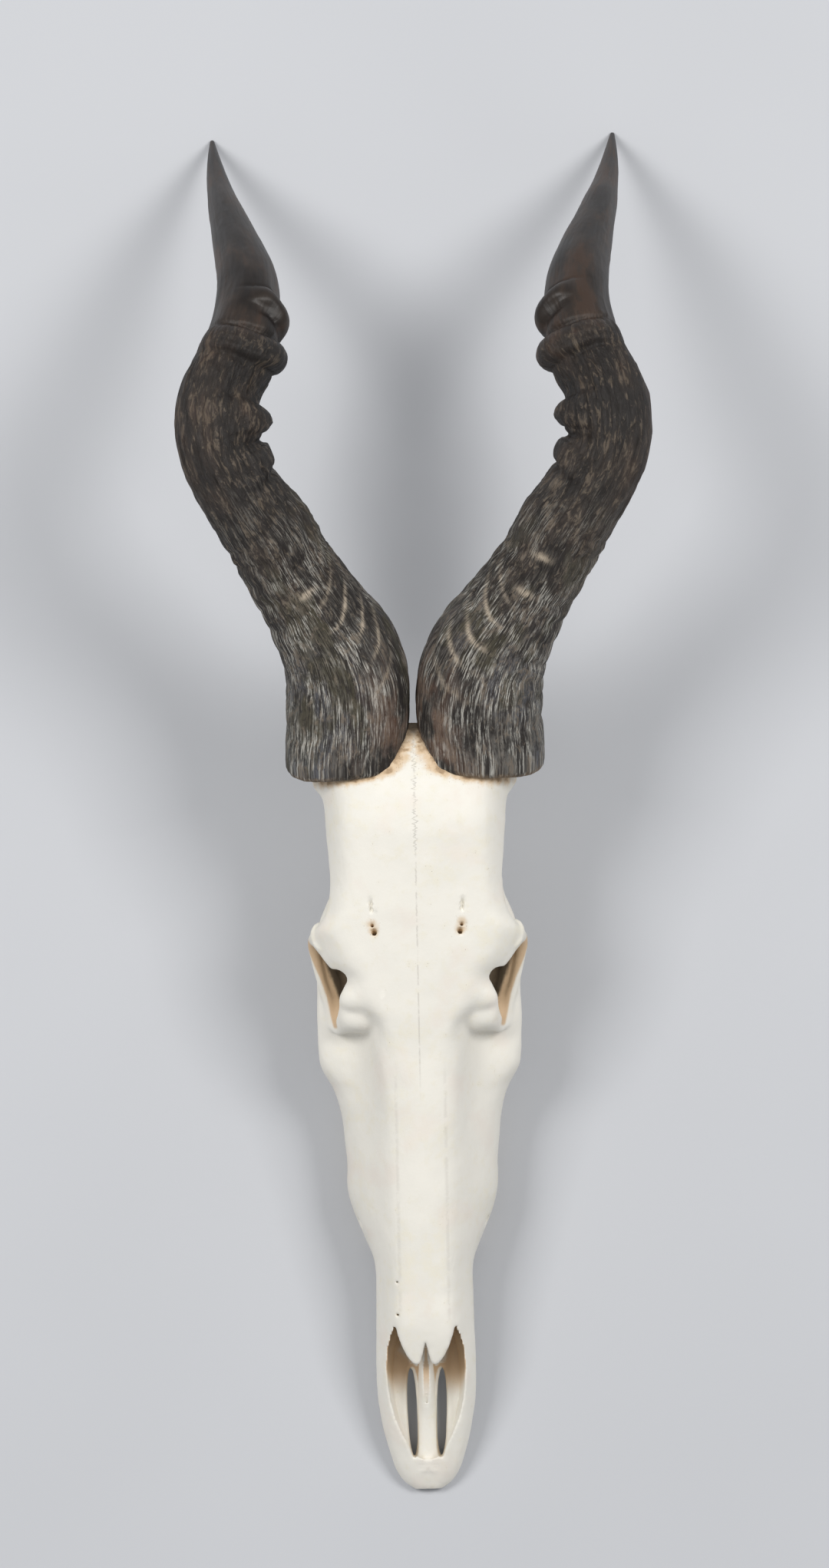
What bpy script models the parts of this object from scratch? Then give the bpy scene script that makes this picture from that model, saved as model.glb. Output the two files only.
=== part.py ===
"""Hartebeest skull with its pair of horns, lying on its cheek teeth and horn tips.

The skull faces -Y with its underside down, and the horns reach towards +Y. Shapes are laid out by
station: the distance in millimetres behind the front of the upper jaw, measured along the surface that the
skull lies on. The cranium, each horn sheath and each cheek tooth are separate solids.
"""

from math import cos, exp, pi, radians, sin

import bmesh
import bpy
import numpy as np
from mathutils import Matrix, Vector

MM = 0.001
MIDDLE_STATION = 429.6  # station of the origin, halfway along the object
FIT_GAP = 0.35  # mm of air between two pieces that fit into each other
SIDES = {"left": -1, "right": 1}

# Cranium: how finely it is fused, smoothed and simplified.
VOXEL = 1.6
SMOOTH_STEPS = 4
CRANIUM_TRIANGLES = 3200
SECTION_POINTS = 40
STATION_STEP = 5.0

# Muzzle and cheeks, one row a station: station, roof height, then half width and height of the nasal edge,
# the upper side, the widest line and the tooth-bearing edge, and the height of the palate on the midline.
FACE = (
    (-3, 7, 5, 7, 7, 6, 8, 5, 6, 2.5, 2.0),
    (2, 11, 9, 11, 14, 8.5, 16.5, 6, 12.5, 1.6, 1.2),
    (17, 19, 14, 18.5, 21.5, 15, 24, 8.5, 19, 1.6, 1.6),
    (34, 28, 16, 27, 25, 21, 28, 12, 22, 4.0, 4.2),
    (54, 38, 17, 37, 27, 28, 30.6, 17, 24, 7.0, 7.5),
    (77, 51, 17, 50, 27, 38, 31, 22, 24.5, 10.0, 11.0),
    (97, 59.5, 15.5, 57, 25.5, 46, 30.6, 28, 24.5, 12.5, 13.0),
    (120, 65.5, 15.5, 63, 25.5, 51, 30.4, 32, 24.5, 14.5, 15.0),
    (140, 70.5, 15.5, 68, 26, 56, 31, 36, 26, 14.0, 16.0),
    (153, 74, 15.5, 71.5, 27.5, 59, 35.2, 37, 33, 13.0, 17.0),
    (168, 78, 16, 75.5, 29, 63, 41.3, 34, 38.5, 12.5, 18.0),
    (182, 82, 16, 79, 30, 66, 45.2, 33, 41.5, 12.5, 19.0),
    (201, 87, 16, 84, 31, 70, 44.8, 36, 42, 12.5, 20.0),
    (214, 90.5, 16, 87.5, 32, 73, 46, 41, 42.5, 12.5, 20.0),
    (234, 96, 17, 93, 34, 76, 48, 46, 42.5, 12.5, 20.0),
    (247, 99.5, 18, 96, 35, 77, 52, 52, 42.5, 14.0, 20.0),
    (259, 103, 20, 99, 36, 78, 60.5, 60, 42, 22.0, 24.0),
    (272, 107, 24, 102, 37, 80, 63, 66, 40, 38.0, 40.0),
    (284, 110, 28, 105, 36, 84, 50, 72, 34, 56.0, 58.0),
)

# Forehead and horn pedicle: station, half width, then heights of the roof, the side edge and the underside.
FOREHEAD = (
    (248, 17, 98, 92, 84),
    (268, 26.5, 105, 97, 84),
    (285, 39, 111, 100, 84),
    (298, 46, 115, 103, 86),
    (309, 45, 119, 106, 88),
    (321, 54.5, 122.5, 107, 90),
    (332, 61, 126, 108, 91),
    (340, 64.5, 128.5, 108, 91),
    (350, 59.5, 132, 109, 88),
    (366, 53.5, 137, 114, 86),
    (385, 52.5, 143, 118, 86),
    (404, 54, 148.5, 120, 86),
    (421, 58, 153, 120, 86),
    (438, 59.5, 155, 120, 88),
    (455, 50, 155, 121, 92),
    (466, 28, 151, 123, 98),
)

# Rounded lumps of bone: half width, length and height, then station, height and side offset of the middle.
BRAINCASE = ((40, 56, 43), (362, 74, 0))
OCCIPUT = ((46, 30, 40), (392, 66, 0))
NUCHAL_SHELF = ((38, 26, 26), (418, 88, 0))
SKULL_BASE = ((17, 66, 9), (358, 40, 0))
EYE_ROOT = ((17, 34, 24), (300, 72, 0))
PAIRED_LUMPS = (
    ((11, 11, 14), (421, 43, 14.5)),  # occipital condyle
    ((9, 15, 13), (377, 31, 23)),  # ear capsule
    ((13, 12, 7), (375, 57, 39)),  # jaw joint
    ((10, 9, 9), (392, 58, 39)),  # ear passage
    ((13, 15, 12), (268, 66, 47)),  # cheek bone root
    ((14, 11, 14), (281, 80, 43)),  # front wall of the eye socket
)

# Struts of bone on each side: points of (side offset, station, height, half thickness, half depth).
CHEEK_ARCH = (
    (54, 262, 62, 8, 14),
    (58, 278, 65, 6, 11),
    (58.5, 295, 65, 5, 8),
    (58.5, 315, 66, 4.5, 7),
    (60.5, 333, 69, 4.5, 8),
    (56, 350, 67, 4.5, 7),
    (49, 366, 62, 5, 6.5),
    (41, 382, 57, 7, 6),
)
BROW_BAR = ((60.5, 338, 110, 4.5, 8), (62, 338, 92, 3.8, 5.5), (60.5, 337, 72, 4.2, 7))
EAR_SPUR = (
    (37, 403, 56, 7, 9),
    (36, 404, 38, 5, 7),
    (34, 403, 20, 3.6, 5),
    (33, 401, 5.5, 2.4, 3),
)
THROAT_PLATE = (
    (16, 252, 34, 3.4, 16),
    (14, 276, 34, 2.6, 20),
    (13, 300, 37, 2.6, 18),
    (14, 322, 42, 3.4, 10),
)
ORBIT_RIM = (
    (44, 309, 103),
    (52, 321, 106),
    (59, 331, 105),
    (61.5, 337, 94),
    (61, 333, 80),
    (59.5, 320, 72.5),
    (57, 303, 71),
    (53.5, 289, 74),
    (49.5, 284, 84),
    (46.5, 288, 95),
    (45, 297.5, 102),
)
ORBIT_RIM_RADIUS = 3.8

# Hollows: the eye socket, the throat passage, the brain cavity and the slots in the front palate.
ORBIT = ((34, 22, 16), (311, 88.5, 52))
ORBIT_BACK = ((20, 22, 17), (334, 78, 44))
BRAIN_CAVITY = ((31, 45, 33), (362, 76, 0))
MARROW_HOLE = ((0, 440, 46, 10, 10), (0, 405, 50, 10, 10), (0, 385, 62, 12, 12))
THROAT_PASSAGE = ((0, 236, 46, 12, 11), (0, 262, 42, 11, 12), (0, 300, 24, 10, 14))
PALATE_SLOT_X, PALATE_SLOT_STATION = 9.4, 42.0
PALATE_SLOT_WIDTH, PALATE_SLOT_LENGTH = 6.6, 50.0

# Nasal cavity: station, half width at the top, half width at the floor, floor height, roof height.
NASAL_CAVITY = (
    (6, 6, 3, 11, 40),
    (16, 15, 7, 10.5, 60),
    (34, 20.5, 10.5, 11, 70),
    (54, 24, 12.5, 13.5, 80),
    (77, 24.6, 13.5, 16.5, 80),
    (96, 24, 15, 19, 78),
    (101, 22, 15, 20, 54.5),
    (140, 22, 16, 24, 65),
    (182, 26, 20, 27, 76),
    (220, 26, 20, 28, 84),
    (245, 22, 17, 30, 88),
    (258, 12, 9, 38, 84),
)
# The side walls of the nose opening slope down towards the front along these (station, height) points.
NOSE_RIM = ((-20, 9), (6, 13), (20, 18), (45, 29.5), (70, 41), (90, 50), (98, 55))
NOSE_RIM_CUT_TOP = 110.0
# Free front ends of the nasal bones: station, inner and outer edge offsets, height of inner and outer edge.
NASAL_TIPS = (
    (73.5, 4.6, 6.6, 53.5, 53.3),
    (78, 2.6, 9.6, 54.6, 53.6),
    (84, 1.0, 12.2, 56.0, 54.0),
    (90, 0.25, 14.4, 57.4, 54.6),
    (98, 0.0, 16.4, 59.3, 55.6),
    (108, 0.0, 17.5, 61.9, 57.6),
)
NASAL_TIP_THICKNESS = 2.6

# Horn sheath: centre line of the right horn as (side offset, station, height, half width, half depth).
HORN = (
    (41.6, 458, 124, 38.4, 37.5),
    (40.6, 479, 133, 38.6, 37.5),
    (41.9, 496, 141, 37.8, 36.5),
    (46.9, 512, 148.5, 36, 35),
    (55, 527.5, 156, 33.5, 33.5),
    (64.6, 543.5, 163.5, 31, 32),
    (74.5, 558, 171, 29.2, 30.5),
    (86, 577, 181, 28, 29),
    (97, 593, 189.5, 27, 28.3),
    (106, 609, 196.5, 26.4, 27.6),
    (112.5, 623, 201, 26, 27),
    (116, 638, 203, 25.8, 26.5),
    (115.8, 655, 202, 25, 26),
    (112, 673, 197.5, 23.6, 25),
    (106.5, 692, 190, 22, 23.4),
    (102.6, 712, 178.5, 20.6, 21.8),
    (102, 733, 162, 18.8, 19.8),
    (104.8, 753, 141, 16.6, 17.4),
    (109.9, 774, 116, 14.2, 14.8),
    (115.2, 793, 92, 11.7, 12.1),
    (119.8, 810, 68, 9.2, 9.4),
    (124, 828, 44, 6.6, 6.6),
    (127.2, 846, 21, 3.8, 3.8),
    (129.4, 861, 0.8, 1.5, 1.5),
)
# How closely the sheath's rings follow each other: (mm along the horn, mm between rings up to there).
HORN_RING_STEPS = ((168, 14.0), (318, 4.8), (600, 18.0))
HORN_SIDES = 16
HORN_TIP_HEIGHT = 0.0
RIM_POINT = (39.8, 448.5, 114.5)  # a point on the plane of the sheath's open end
RIM_NORMAL = (0.2, 0.84, 0.5)
RIM_SLANT_REACH = 62.0  # mm along the horn over which its rings turn square to its axis
RIM_ROUNDING = ((0.0, 0.86), (0.0, 0.93), (1.6, 0.975), (4.5, 1.0))  # (mm from the rim, share of full size)

# Knuckles of the front of the horn: (mm along the horn, mm proud, half width along the horn).
KNUCKLES = ((187, 7.0, 5.5), (219, 8.5, 6.5), (267, 9.5, 6.5), (296, 8.0, 5.5))
KNUCKLE_FACING = radians(45)  # the turn round the horn where they stand most proud

# Horn core: the stub of bone that the open end of the sheath sits on.
CORE_RADII = (24.5, 25.0)
CORE_TIP_SHARE = 0.82
CORE_DEPTH, CORE_HEIGHT = 26.0, 16.0

# Cheek teeth of one side, front to back: name, length, width, lobes along the tooth.
TEETH = (
    ("premolar_1", 9.5, 9.5, 1),
    ("premolar_2", 11.5, 11.5, 1),
    ("premolar_3", 12.0, 13.0, 1),
    ("molar_1", 17.0, 15.0, 2),
    ("molar_2", 20.5, 16.5, 2),
    ("molar_3", 21.0, 15.5, 2),
)
TOOTH_ROW_START = 151.0
TOOTH_SPACING = 0.6
TOOTH_ROW_OFFSET = (28.5, 35.0)  # side offset of the row's front and back
TOOTH_TOP = 21.0
TOOTH_POINTS = 14
TOOTH_LOBE = 0.11  # how far each lobe bulges, as a share of the tooth's width
TOOTH_WEAR_ROUNDING = 0.88  # size of the worn face as a share of the crown
TOOTH_WEAR_HEIGHT = 1.4
TOOTH_ROOT_SHARE = 0.97

COLOURS = {
    "bone": ((0.82, 0.79, 0.70, 1.0), 0.55),
    "horn": ((0.055, 0.042, 0.034, 1.0), 0.45),
    "tooth": ((0.66, 0.58, 0.43, 1.0), 0.35),
}


def place(x, station, z):
    """The point in metres at a side offset, station and height in millimetres."""
    return Vector((x, station - MIDDLE_STATION, z)) * MM


def hermite(rows, at):
    """A table whose first column rises, read at the values in at along smooth curves."""
    table = np.array(rows, float)
    knots, values = table[:, 0], table[:, 1:]
    steps = np.diff(knots)[:, None]
    slopes = np.diff(values, axis=0) / steps
    inner = (slopes[1:] * steps[:-1] + slopes[:-1] * steps[1:]) / (steps[1:] + steps[:-1])
    tangents = np.vstack([slopes[:1], inner, slopes[-1:]])
    at = np.clip(at, knots[0], knots[-1])
    k = np.clip(np.searchsorted(knots, at, side="right") - 1, 0, len(knots) - 2)
    h = steps[k]
    t = ((at - knots[k]) / h[:, 0])[:, None]
    return (
        values[k] * (2 * t**3 - 3 * t**2 + 1)
        + values[k + 1] * (3 * t**2 - 2 * t**3)
        + tangents[k] * h * (t**3 - 2 * t**2 + t)
        + tangents[k + 1] * h * (t**3 - t**2)
    )


def along(rows, step):
    """The rows of a station table at even steps, each with its station first."""
    first, last = rows[0][0], rows[-1][0]
    stations = np.linspace(first, last, max(2, round((last - first) / step)) + 1)
    return np.column_stack([stations, hermite(rows, stations)])


def closed_curve(points, count):
    """A closed smooth curve through 2-D points, as count points."""
    loop = np.array(list(points) + list(points[:1]), float)
    spans = np.linalg.norm(np.diff(loop, axis=0), axis=1)
    knots = np.concatenate([[0], np.cumsum(spans)])
    wrapped = np.vstack([loop[-3:-1], loop, loop[1:3]])
    length = knots[-1]
    positions = np.concatenate([knots[-3:-1] - length, knots, knots[1:3] + length])
    return hermite(np.column_stack([positions, wrapped]), np.linspace(0, length, count, endpoint=False))


def material(name):
    colour, roughness = COLOURS[name]
    made = bpy.data.materials.get(name) or bpy.data.materials.new(name)
    made.use_nodes = True
    shader = made.node_tree.nodes["Principled BSDF"]
    shader.inputs["Base Color"].default_value = colour
    shader.inputs["Roughness"].default_value = roughness
    shader.inputs["Metallic"].default_value = 0.0
    return made


def new_object(name, bm, collection):
    """An object from a bmesh, with its faces turned outwards."""
    bmesh.ops.recalc_face_normals(bm, faces=bm.faces)
    mesh = bpy.data.meshes.new(name)
    bm.to_mesh(mesh)
    bm.free()
    obj = bpy.data.objects.new(name, mesh)
    collection.objects.link(obj)
    return obj


def add_loft(bm, rings):
    """Skins a row of rings, each the same number of points, and caps both ends."""
    loops = [[bm.verts.new(point) for point in ring] for ring in rings]
    for ring, following in zip(loops, loops[1:]):
        for i, vertex in enumerate(ring):
            j = (i + 1) % len(ring)
            bm.faces.new((vertex, ring[j], following[j], following[i]))
    bm.faces.new(reversed(loops[0]))
    bm.faces.new(loops[-1])


def add_lump(bm, radii, middle, side=1):
    """An ellipsoid of bone."""
    station, z, x = middle
    shape = Matrix.Translation(place(side * x, station, z)) @ Matrix.Diagonal((*(Vector(radii) * MM), 1))
    bmesh.ops.create_uvsphere(bm, u_segments=32, v_segments=20, radius=1, matrix=shape)


def frames(points):
    """Tangent, side and upright directions at each point of a path, carried along it without twisting."""
    tangents = np.gradient(points, axis=0)
    tangents /= np.linalg.norm(tangents, axis=1)[:, None]
    side = np.cross(tangents[0], (0, 0, 1))
    if np.linalg.norm(side) < 0.2:
        side = np.array((1.0, 0, 0))
    sides = []
    for tangent in tangents:
        side = side - tangent * (side @ tangent)
        side = side / np.linalg.norm(side)
        sides.append(side)
    sides = np.array(sides)
    return tangents, sides, np.cross(sides, tangents)


def path_lengths(rows):
    """How far along its path each row's point lies."""
    return np.concatenate([[0], np.cumsum(np.linalg.norm(np.diff(rows[:, :3], axis=0), axis=1))])


def add_strut(bm, rows, side=1, count=24, sides=16):
    """A tapering bar of oval section along a smooth path, with the half sizes that its rows give."""
    rows = np.array(rows, float)
    lengths = path_lengths(rows)
    smooth = hermite(np.column_stack([lengths, rows]), np.linspace(0, lengths[-1], count))
    points = smooth[:, :3] * (side, 1, 1)
    _, across, upright = frames(points)
    rings = []
    for point, a, b, thick, deep in zip(points, across, upright, smooth[:, 3], smooth[:, 4]):
        turns = np.linspace(0, 2 * pi, sides, endpoint=False)
        ring = point + np.outer(np.cos(turns) * thick, a) + np.outer(np.sin(turns) * deep, b)
        rings.append([place(*p) for p in ring])
    add_loft(bm, rings)


def face_rings(rows, half_section):
    """Rings from rows of a station table, each a half section mirrored across the midline."""
    rings = []
    for row in along(rows, STATION_STEP):
        half = half_section(row)
        outline = half + [(-x, z) for x, z in reversed(half[1:-1])]
        rings.append([place(x, row[0], z) for x, z in closed_curve(outline, SECTION_POINTS)])
    return rings


def face_section(row):
    roof, palate = row[1], row[10]
    pairs = row[2:10].reshape(4, 2)
    return [(0, roof)] + [tuple(p) for p in pairs] + [(pairs[3][0] * 0.45, palate), (0, palate)]


def forehead_section(row):
    _, half, roof, edge, under = row
    return [
        (0, roof),
        (half * 0.45, roof - 0.7),
        (half * 0.80, roof - (roof - edge) * 0.22),
        (half, edge),
        (half * 0.82, under + (edge - under) * 0.25),
        (half * 0.40, under),
        (0, under),
    ]


def cavity_section(row):
    _, top_half, floor_half, floor, roof = row
    return [
        (0, roof),
        (top_half * 0.8, roof - (roof - floor) * 0.06),
        (top_half, roof - (roof - floor) * 0.35),
        (floor_half, floor + (roof - floor) * 0.04),
        (floor_half * 0.6, floor),
        (0, floor),
    ]


def fused(name, bm, collection, voxel):
    """The shells of a bmesh fused into one closed skin."""
    shells = new_object(name, bm, collection)
    remesh = shells.modifiers.new("Fuse", "REMESH")
    remesh.mode = "VOXEL"
    remesh.voxel_size = voxel * MM
    bake_modifiers(shells)
    return shells


def bake_modifiers(obj):
    """Replaces an object's mesh by what its modifiers make of it."""
    graph = bpy.context.evaluated_depsgraph_get()
    graph.update()
    baked = bpy.data.meshes.new_from_object(obj.evaluated_get(graph))
    obj.modifiers.clear()
    obj.data = baked


def carve(obj, cutter, operation="DIFFERENCE"):
    modifier = obj.modifiers.new(operation.title(), "BOOLEAN")
    modifier.operation = operation
    modifier.solver = "EXACT"
    modifier.object = cutter
    bake_modifiers(obj)


def hide(cutter):
    cutter.hide_render = True
    cutter.display_type = "WIRE"


def cranium_solid(collection, cutters):
    """All bones of the skull, which grew together, in one piece with their hollows."""
    bm = bmesh.new()
    add_loft(bm, face_rings(FACE, face_section))
    add_loft(bm, face_rings(FOREHEAD, forehead_section))
    for radii, middle in (BRAINCASE, OCCIPUT, NUCHAL_SHELF, SKULL_BASE, EYE_ROOT):
        add_lump(bm, radii, middle)
    for side in SIDES.values():
        for radii, middle in PAIRED_LUMPS:
            add_lump(bm, radii, middle, side)
    cranium = fused("cranium", bm, collection, VOXEL)

    carve(cranium, hollows(cutters))

    bm = bmesh.new()
    bm.from_mesh(cranium.data)
    for side in SIDES.values():
        for strut in (CHEEK_ARCH, BROW_BAR, EAR_SPUR, THROAT_PLATE):
            add_strut(bm, strut, side)
        add_orbit_rim(bm, side)
        add_nasal_tip(bm, side)
    bpy.data.objects.remove(cranium)
    cranium = fused("cranium", bm, collection, VOXEL)

    smooth = cranium.modifiers.new("Soften", "SMOOTH")
    smooth.factor = 0.5
    smooth.iterations = SMOOTH_STEPS
    bake_modifiers(cranium)
    triangles = sum(len(face.vertices) - 2 for face in cranium.data.polygons)
    simplify = cranium.modifiers.new("Simplify", "DECIMATE")
    simplify.ratio = CRANIUM_TRIANGLES / triangles
    simplify.use_collapse_triangulate = True
    bake_modifiers(cranium)
    carve(cranium, palate_slots(cutters))
    return cranium


def hollows(cutters):
    """Nasal cavity, eye sockets, brain cavity and throat passage, as one cutter."""
    bm = bmesh.new()
    add_loft(bm, face_rings(NASAL_CAVITY, cavity_section))
    add_lump(bm, *BRAIN_CAVITY)
    add_strut(bm, MARROW_HOLE)
    add_strut(bm, THROAT_PASSAGE)
    for side in SIDES.values():
        add_lump(bm, *ORBIT, side)
        add_lump(bm, *ORBIT_BACK, side)
    cutter = fused("hollows", bm, cutters, VOXEL)
    carve(cutter, nose_rim_cutter(cutters), "UNION")
    hide(cutter)
    return cutter


def nose_rim_cutter(cutters):
    """Everything above the sloping rim of the nose opening."""
    outline = NOSE_RIM + ((NOSE_RIM[-1][0], NOSE_RIM_CUT_TOP), (NOSE_RIM[0][0], NOSE_RIM_CUT_TOP))
    bm = bmesh.new()
    reach = 60
    add_loft(bm, [[place(x, station, z) for station, z in outline] for x in (-reach, reach)])
    cutter = new_object("nose_rim_cutter", bm, cutters)
    hide(cutter)
    return cutter


def palate_slots(cutters):
    """The two see-through slots in the front of the palate, as one cutter."""
    bm = bmesh.new()
    for side in SIDES.values():
        shape = (
            Matrix.Translation(place(side * PALATE_SLOT_X, PALATE_SLOT_STATION, 10))
            @ Matrix.Rotation(radians(side * -1.5), 4, "Z")
            @ Matrix.Diagonal((PALATE_SLOT_WIDTH / 2 * MM, PALATE_SLOT_LENGTH / 2 * MM, 30 * MM, 1))
        )
        bmesh.ops.create_cone(bm, cap_ends=True, segments=20, radius1=1, radius2=1, depth=1, matrix=shape)
    cutter = new_object("palate_slots", bm, cutters)
    hide(cutter)
    return cutter


def add_orbit_rim(bm, side):
    """A rounded ring of bone around the eye socket."""
    loop = np.array(ORBIT_RIM, float) * (side, 1, 1)
    middle = loop.mean(axis=0)
    turns = np.linspace(0, 1, 48, endpoint=False)
    knots = np.linspace(-2 / len(loop), 1 + 2 / len(loop), len(loop) + 5)
    wrapped = np.vstack([loop[-2:], loop, loop[:3]])
    path = hermite(np.column_stack([knots, wrapped]), turns)
    rings = []
    for i, point in enumerate(path):
        tangent = path[(i + 1) % len(path)] - path[i - 1]
        outward = np.cross(tangent, np.cross(point - middle, tangent))
        outward /= np.linalg.norm(outward)
        upright = np.cross(tangent, outward)
        upright /= np.linalg.norm(upright)
        angles = np.linspace(0, 2 * pi, 12, endpoint=False)
        circle = np.outer(np.cos(angles), outward) + np.outer(np.sin(angles), upright)
        ring = point + ORBIT_RIM_RADIUS * circle
        rings.append([bm.verts.new(place(*p)) for p in ring])
    for ring, following in zip(rings, rings[1:] + rings[:1]):
        for i, vertex in enumerate(ring):
            j = (i + 1) % len(ring)
            bm.faces.new((vertex, ring[j], following[j], following[i]))


def add_nasal_tip(bm, side):
    """The pointed front end of one nasal bone, a thin curved plate over the nose opening."""
    rings = []
    for station, inner, outer, inner_z, outer_z in along(NASAL_TIPS, 3):
        shares = np.linspace(0, 1, 8)
        top = [(inner + (outer - inner) * s, inner_z + (outer_z - inner_z) * s**2) for s in shares]
        under = [(x, z - NASAL_TIP_THICKNESS) for x, z in reversed(top)]
        rings.append([place(side * x, station, z) for x, z in top + under])
    add_loft(bm, rings)


def horn_path():
    """Rows of the horn's centre line: point, half width, half depth, and the length along it."""
    rows = np.array(HORN, float)
    lengths = path_lengths(rows)
    spots = [0.0]
    for reach, step in HORN_RING_STEPS:
        while spots[-1] < min(reach, lengths[-1] - step):
            spots.append(spots[-1] + step)
    spots.append(lengths[-1])
    smooth = hermite(np.column_stack([lengths, rows]), spots)
    return smooth[:, :3], smooth[:, 3:], np.array(spots)


def knuckle(length, turn):
    """How far the sheath stands proud at a length along the horn and a turn round it, 0 facing inwards."""
    facing = (0.5 + 0.5 * cos(turn - KNUCKLE_FACING)) ** 1.5
    return facing * sum(proud * exp(-(((length - spot) / half) ** 2)) for spot, proud, half in KNUCKLES)


def rim_slant(point, tangent, reach):
    """How far each line of the sheath starts ahead of a square cut; reach is its offset from the path."""
    normal = np.array(Vector(RIM_NORMAL).normalized())
    return -((point + reach - np.array(RIM_POINT)) @ normal) / (tangent @ normal)


def horn_solid(name, side, collection, grow=0.0):
    """One horn sheath, closed at its base by the slanting rim plane; grow makes it that many mm fatter."""
    points, radii, lengths = horn_path()
    tangents, across, upright = frames(points)
    turns = np.linspace(0, 2 * pi, HORN_SIDES, endpoint=False)
    wide, deep = radii[0]
    reach = np.outer(np.sin(turns) * deep, upright[0]) - np.outer(np.cos(turns) * wide, across[0])
    slant = rim_slant(points[0], tangents[0], reach) - grow
    layers = [(0, near, share) for near, share in RIM_ROUNDING]
    layers += [(i, 0.0, 1.0) for i in range(1, len(points))]
    rings = []
    for i, near, share in layers:
        fade = max(0.0, 1 - (lengths[i] + near) / RIM_SLANT_REACH) ** 1.6
        ring = []
        for k, turn in enumerate(turns):
            wide, deep = radii[i] * share + knuckle(lengths[i], turn) + grow
            outward = upright[i] * deep * sin(turn) - across[i] * wide * cos(turn)
            spot = points[i] + outward + tangents[i] * (near + slant[k] * fade)
            ring.append(place(side * spot[0], spot[1], max(spot[2], HORN_TIP_HEIGHT)))
        rings.append(ring)
    bm = bmesh.new()
    add_loft(bm, rings)
    return new_object(name, bm, collection)


def core_solid(name, side, collection, grow=0.0):
    """The stub of bone under a sheath, square to the rim plane."""
    normal = Vector((side * RIM_NORMAL[0], RIM_NORMAL[1], RIM_NORMAL[2])).normalized()
    turned = normal.to_track_quat("Z", "Y").to_matrix().to_4x4()
    length = CORE_DEPTH + CORE_HEIGHT + grow
    x, station, z = RIM_POINT
    middle = place(side * x, station, z) + normal * (length / 2 - CORE_DEPTH) * MM
    stretch = Matrix.Diagonal(((CORE_RADII[0] + grow) * MM, (CORE_RADII[1] + grow) * MM, length * MM, 1))
    bm = bmesh.new()
    bmesh.ops.create_cone(
        bm,
        cap_ends=True,
        segments=28,
        radius1=1,
        radius2=CORE_TIP_SHARE,
        depth=1,
        matrix=Matrix.Translation(middle) @ turned @ stretch,
    )
    return new_object(name, bm, collection)


def tooth_outline(length, width, lobes, grow):
    """Outline of a cheek tooth: a rounded block whose inner and outer walls bulge at each lobe."""
    outline = []
    for k in range(TOOTH_POINTS):
        turn = 2 * pi * k / TOOTH_POINTS
        square = (abs(cos(turn)) ** 3.2 + abs(sin(turn)) ** 3.2) ** (-1 / 3.2)
        along_tooth = square * cos(turn)
        lobe = cos(pi * along_tooth * lobes) * (-1) ** (lobes + 1) - 0.5
        across = square * sin(turn) * (1 + TOOTH_LOBE * lobe * abs(sin(turn)))
        outline.append((across * width / 2 + grow * sin(turn), along_tooth * length / 2 + grow * cos(turn)))
    return outline


def tooth_places():
    """Name, station, side offset and shape of each tooth of one side."""
    total = sum(tooth[1] for tooth in TEETH) + TOOTH_SPACING * (len(TEETH) - 1)
    front, back = TOOTH_ROW_OFFSET
    start = TOOTH_ROW_START
    for name, length, width, lobes in TEETH:
        station = start + length / 2
        share = (station - TOOTH_ROW_START) / total
        offset = front + (back - front) * min(1, share * 1.5) ** 0.8
        yield name, station, offset, (length, width, lobes)
        start += length + TOOTH_SPACING


def tooth_solid(name, side, station, offset, shape, collection, grow=0.0):
    """One cheek tooth, from its worn face up into its socket; with grow, a plain prism that clears it."""
    worn = () if grow else ((0.0, TOOTH_WEAR_ROUNDING),)
    levels = worn + ((TOOTH_WEAR_HEIGHT, 1.0), (TOOTH_TOP + grow, TOOTH_ROOT_SHARE))
    outline = tooth_outline(*shape, grow)
    rings = []
    for z, share in levels:
        rings.append([place(side * (offset + x * share), station + y * share, z) for x, y in outline])
    bm = bmesh.new()
    add_loft(bm, rings)
    return new_object(name, bm, collection)


def finish(obj, look):
    obj.data.materials.clear()
    obj.data.materials.append(material(look))
    obj.data.shade_smooth()
    obj.data.set_sharp_from_angle(angle=radians(40))


def main():
    for obj in list(bpy.data.objects):
        bpy.data.objects.remove(obj)
    skull = bpy.data.collections.new("hartebeest_skull")
    cutters = bpy.data.collections.new("cutters")
    for collection in (skull, cutters):
        bpy.context.scene.collection.children.link(collection)

    cranium = cranium_solid(skull, cutters)
    for word, side in SIDES.items():
        seat = horn_solid(f"horn_seat_{word}", side, cutters, FIT_GAP)
        hide(seat)
        carve(cranium, seat)
        core = core_solid(f"core_{word}", side, cutters)
        hide(core)
        carve(cranium, core, "UNION")
        horn = horn_solid(f"horn_{word}", side, skull)
        socket = core_solid(f"core_socket_{word}", side, cutters, FIT_GAP)
        hide(socket)
        carve(horn, socket)
        finish(horn, "horn")
        for name, station, offset, shape in tooth_places():
            tooth = tooth_solid(f"{name}_{word}", side, station, offset, shape, skull)
            finish(tooth, "tooth")
            pit = tooth_solid(f"{name}_{word}_socket", side, station, offset, shape, cutters, FIT_GAP)
            hide(pit)
            carve(cranium, pit)
    finish(cranium, "bone")


main()
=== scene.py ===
"""Bleached hartebeest skull with its pair of horns, finished around the packed frame.

Run as a script, this adds its panel to the 3D view's sidebar and builds every piece once. Shapes are laid
out by station: the distance in millimetres behind the front of the upper jaw, measured along the surface
that the skull lies on. A point is (side offset, station, height) in millimetres.
"""

from math import cos, pi, radians, sin

import bpy
import numpy as np
import openvdb as vdb
from bpy.props import FloatProperty, FloatVectorProperty, IntProperty, PointerProperty
from mathutils import Matrix, Vector


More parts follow.
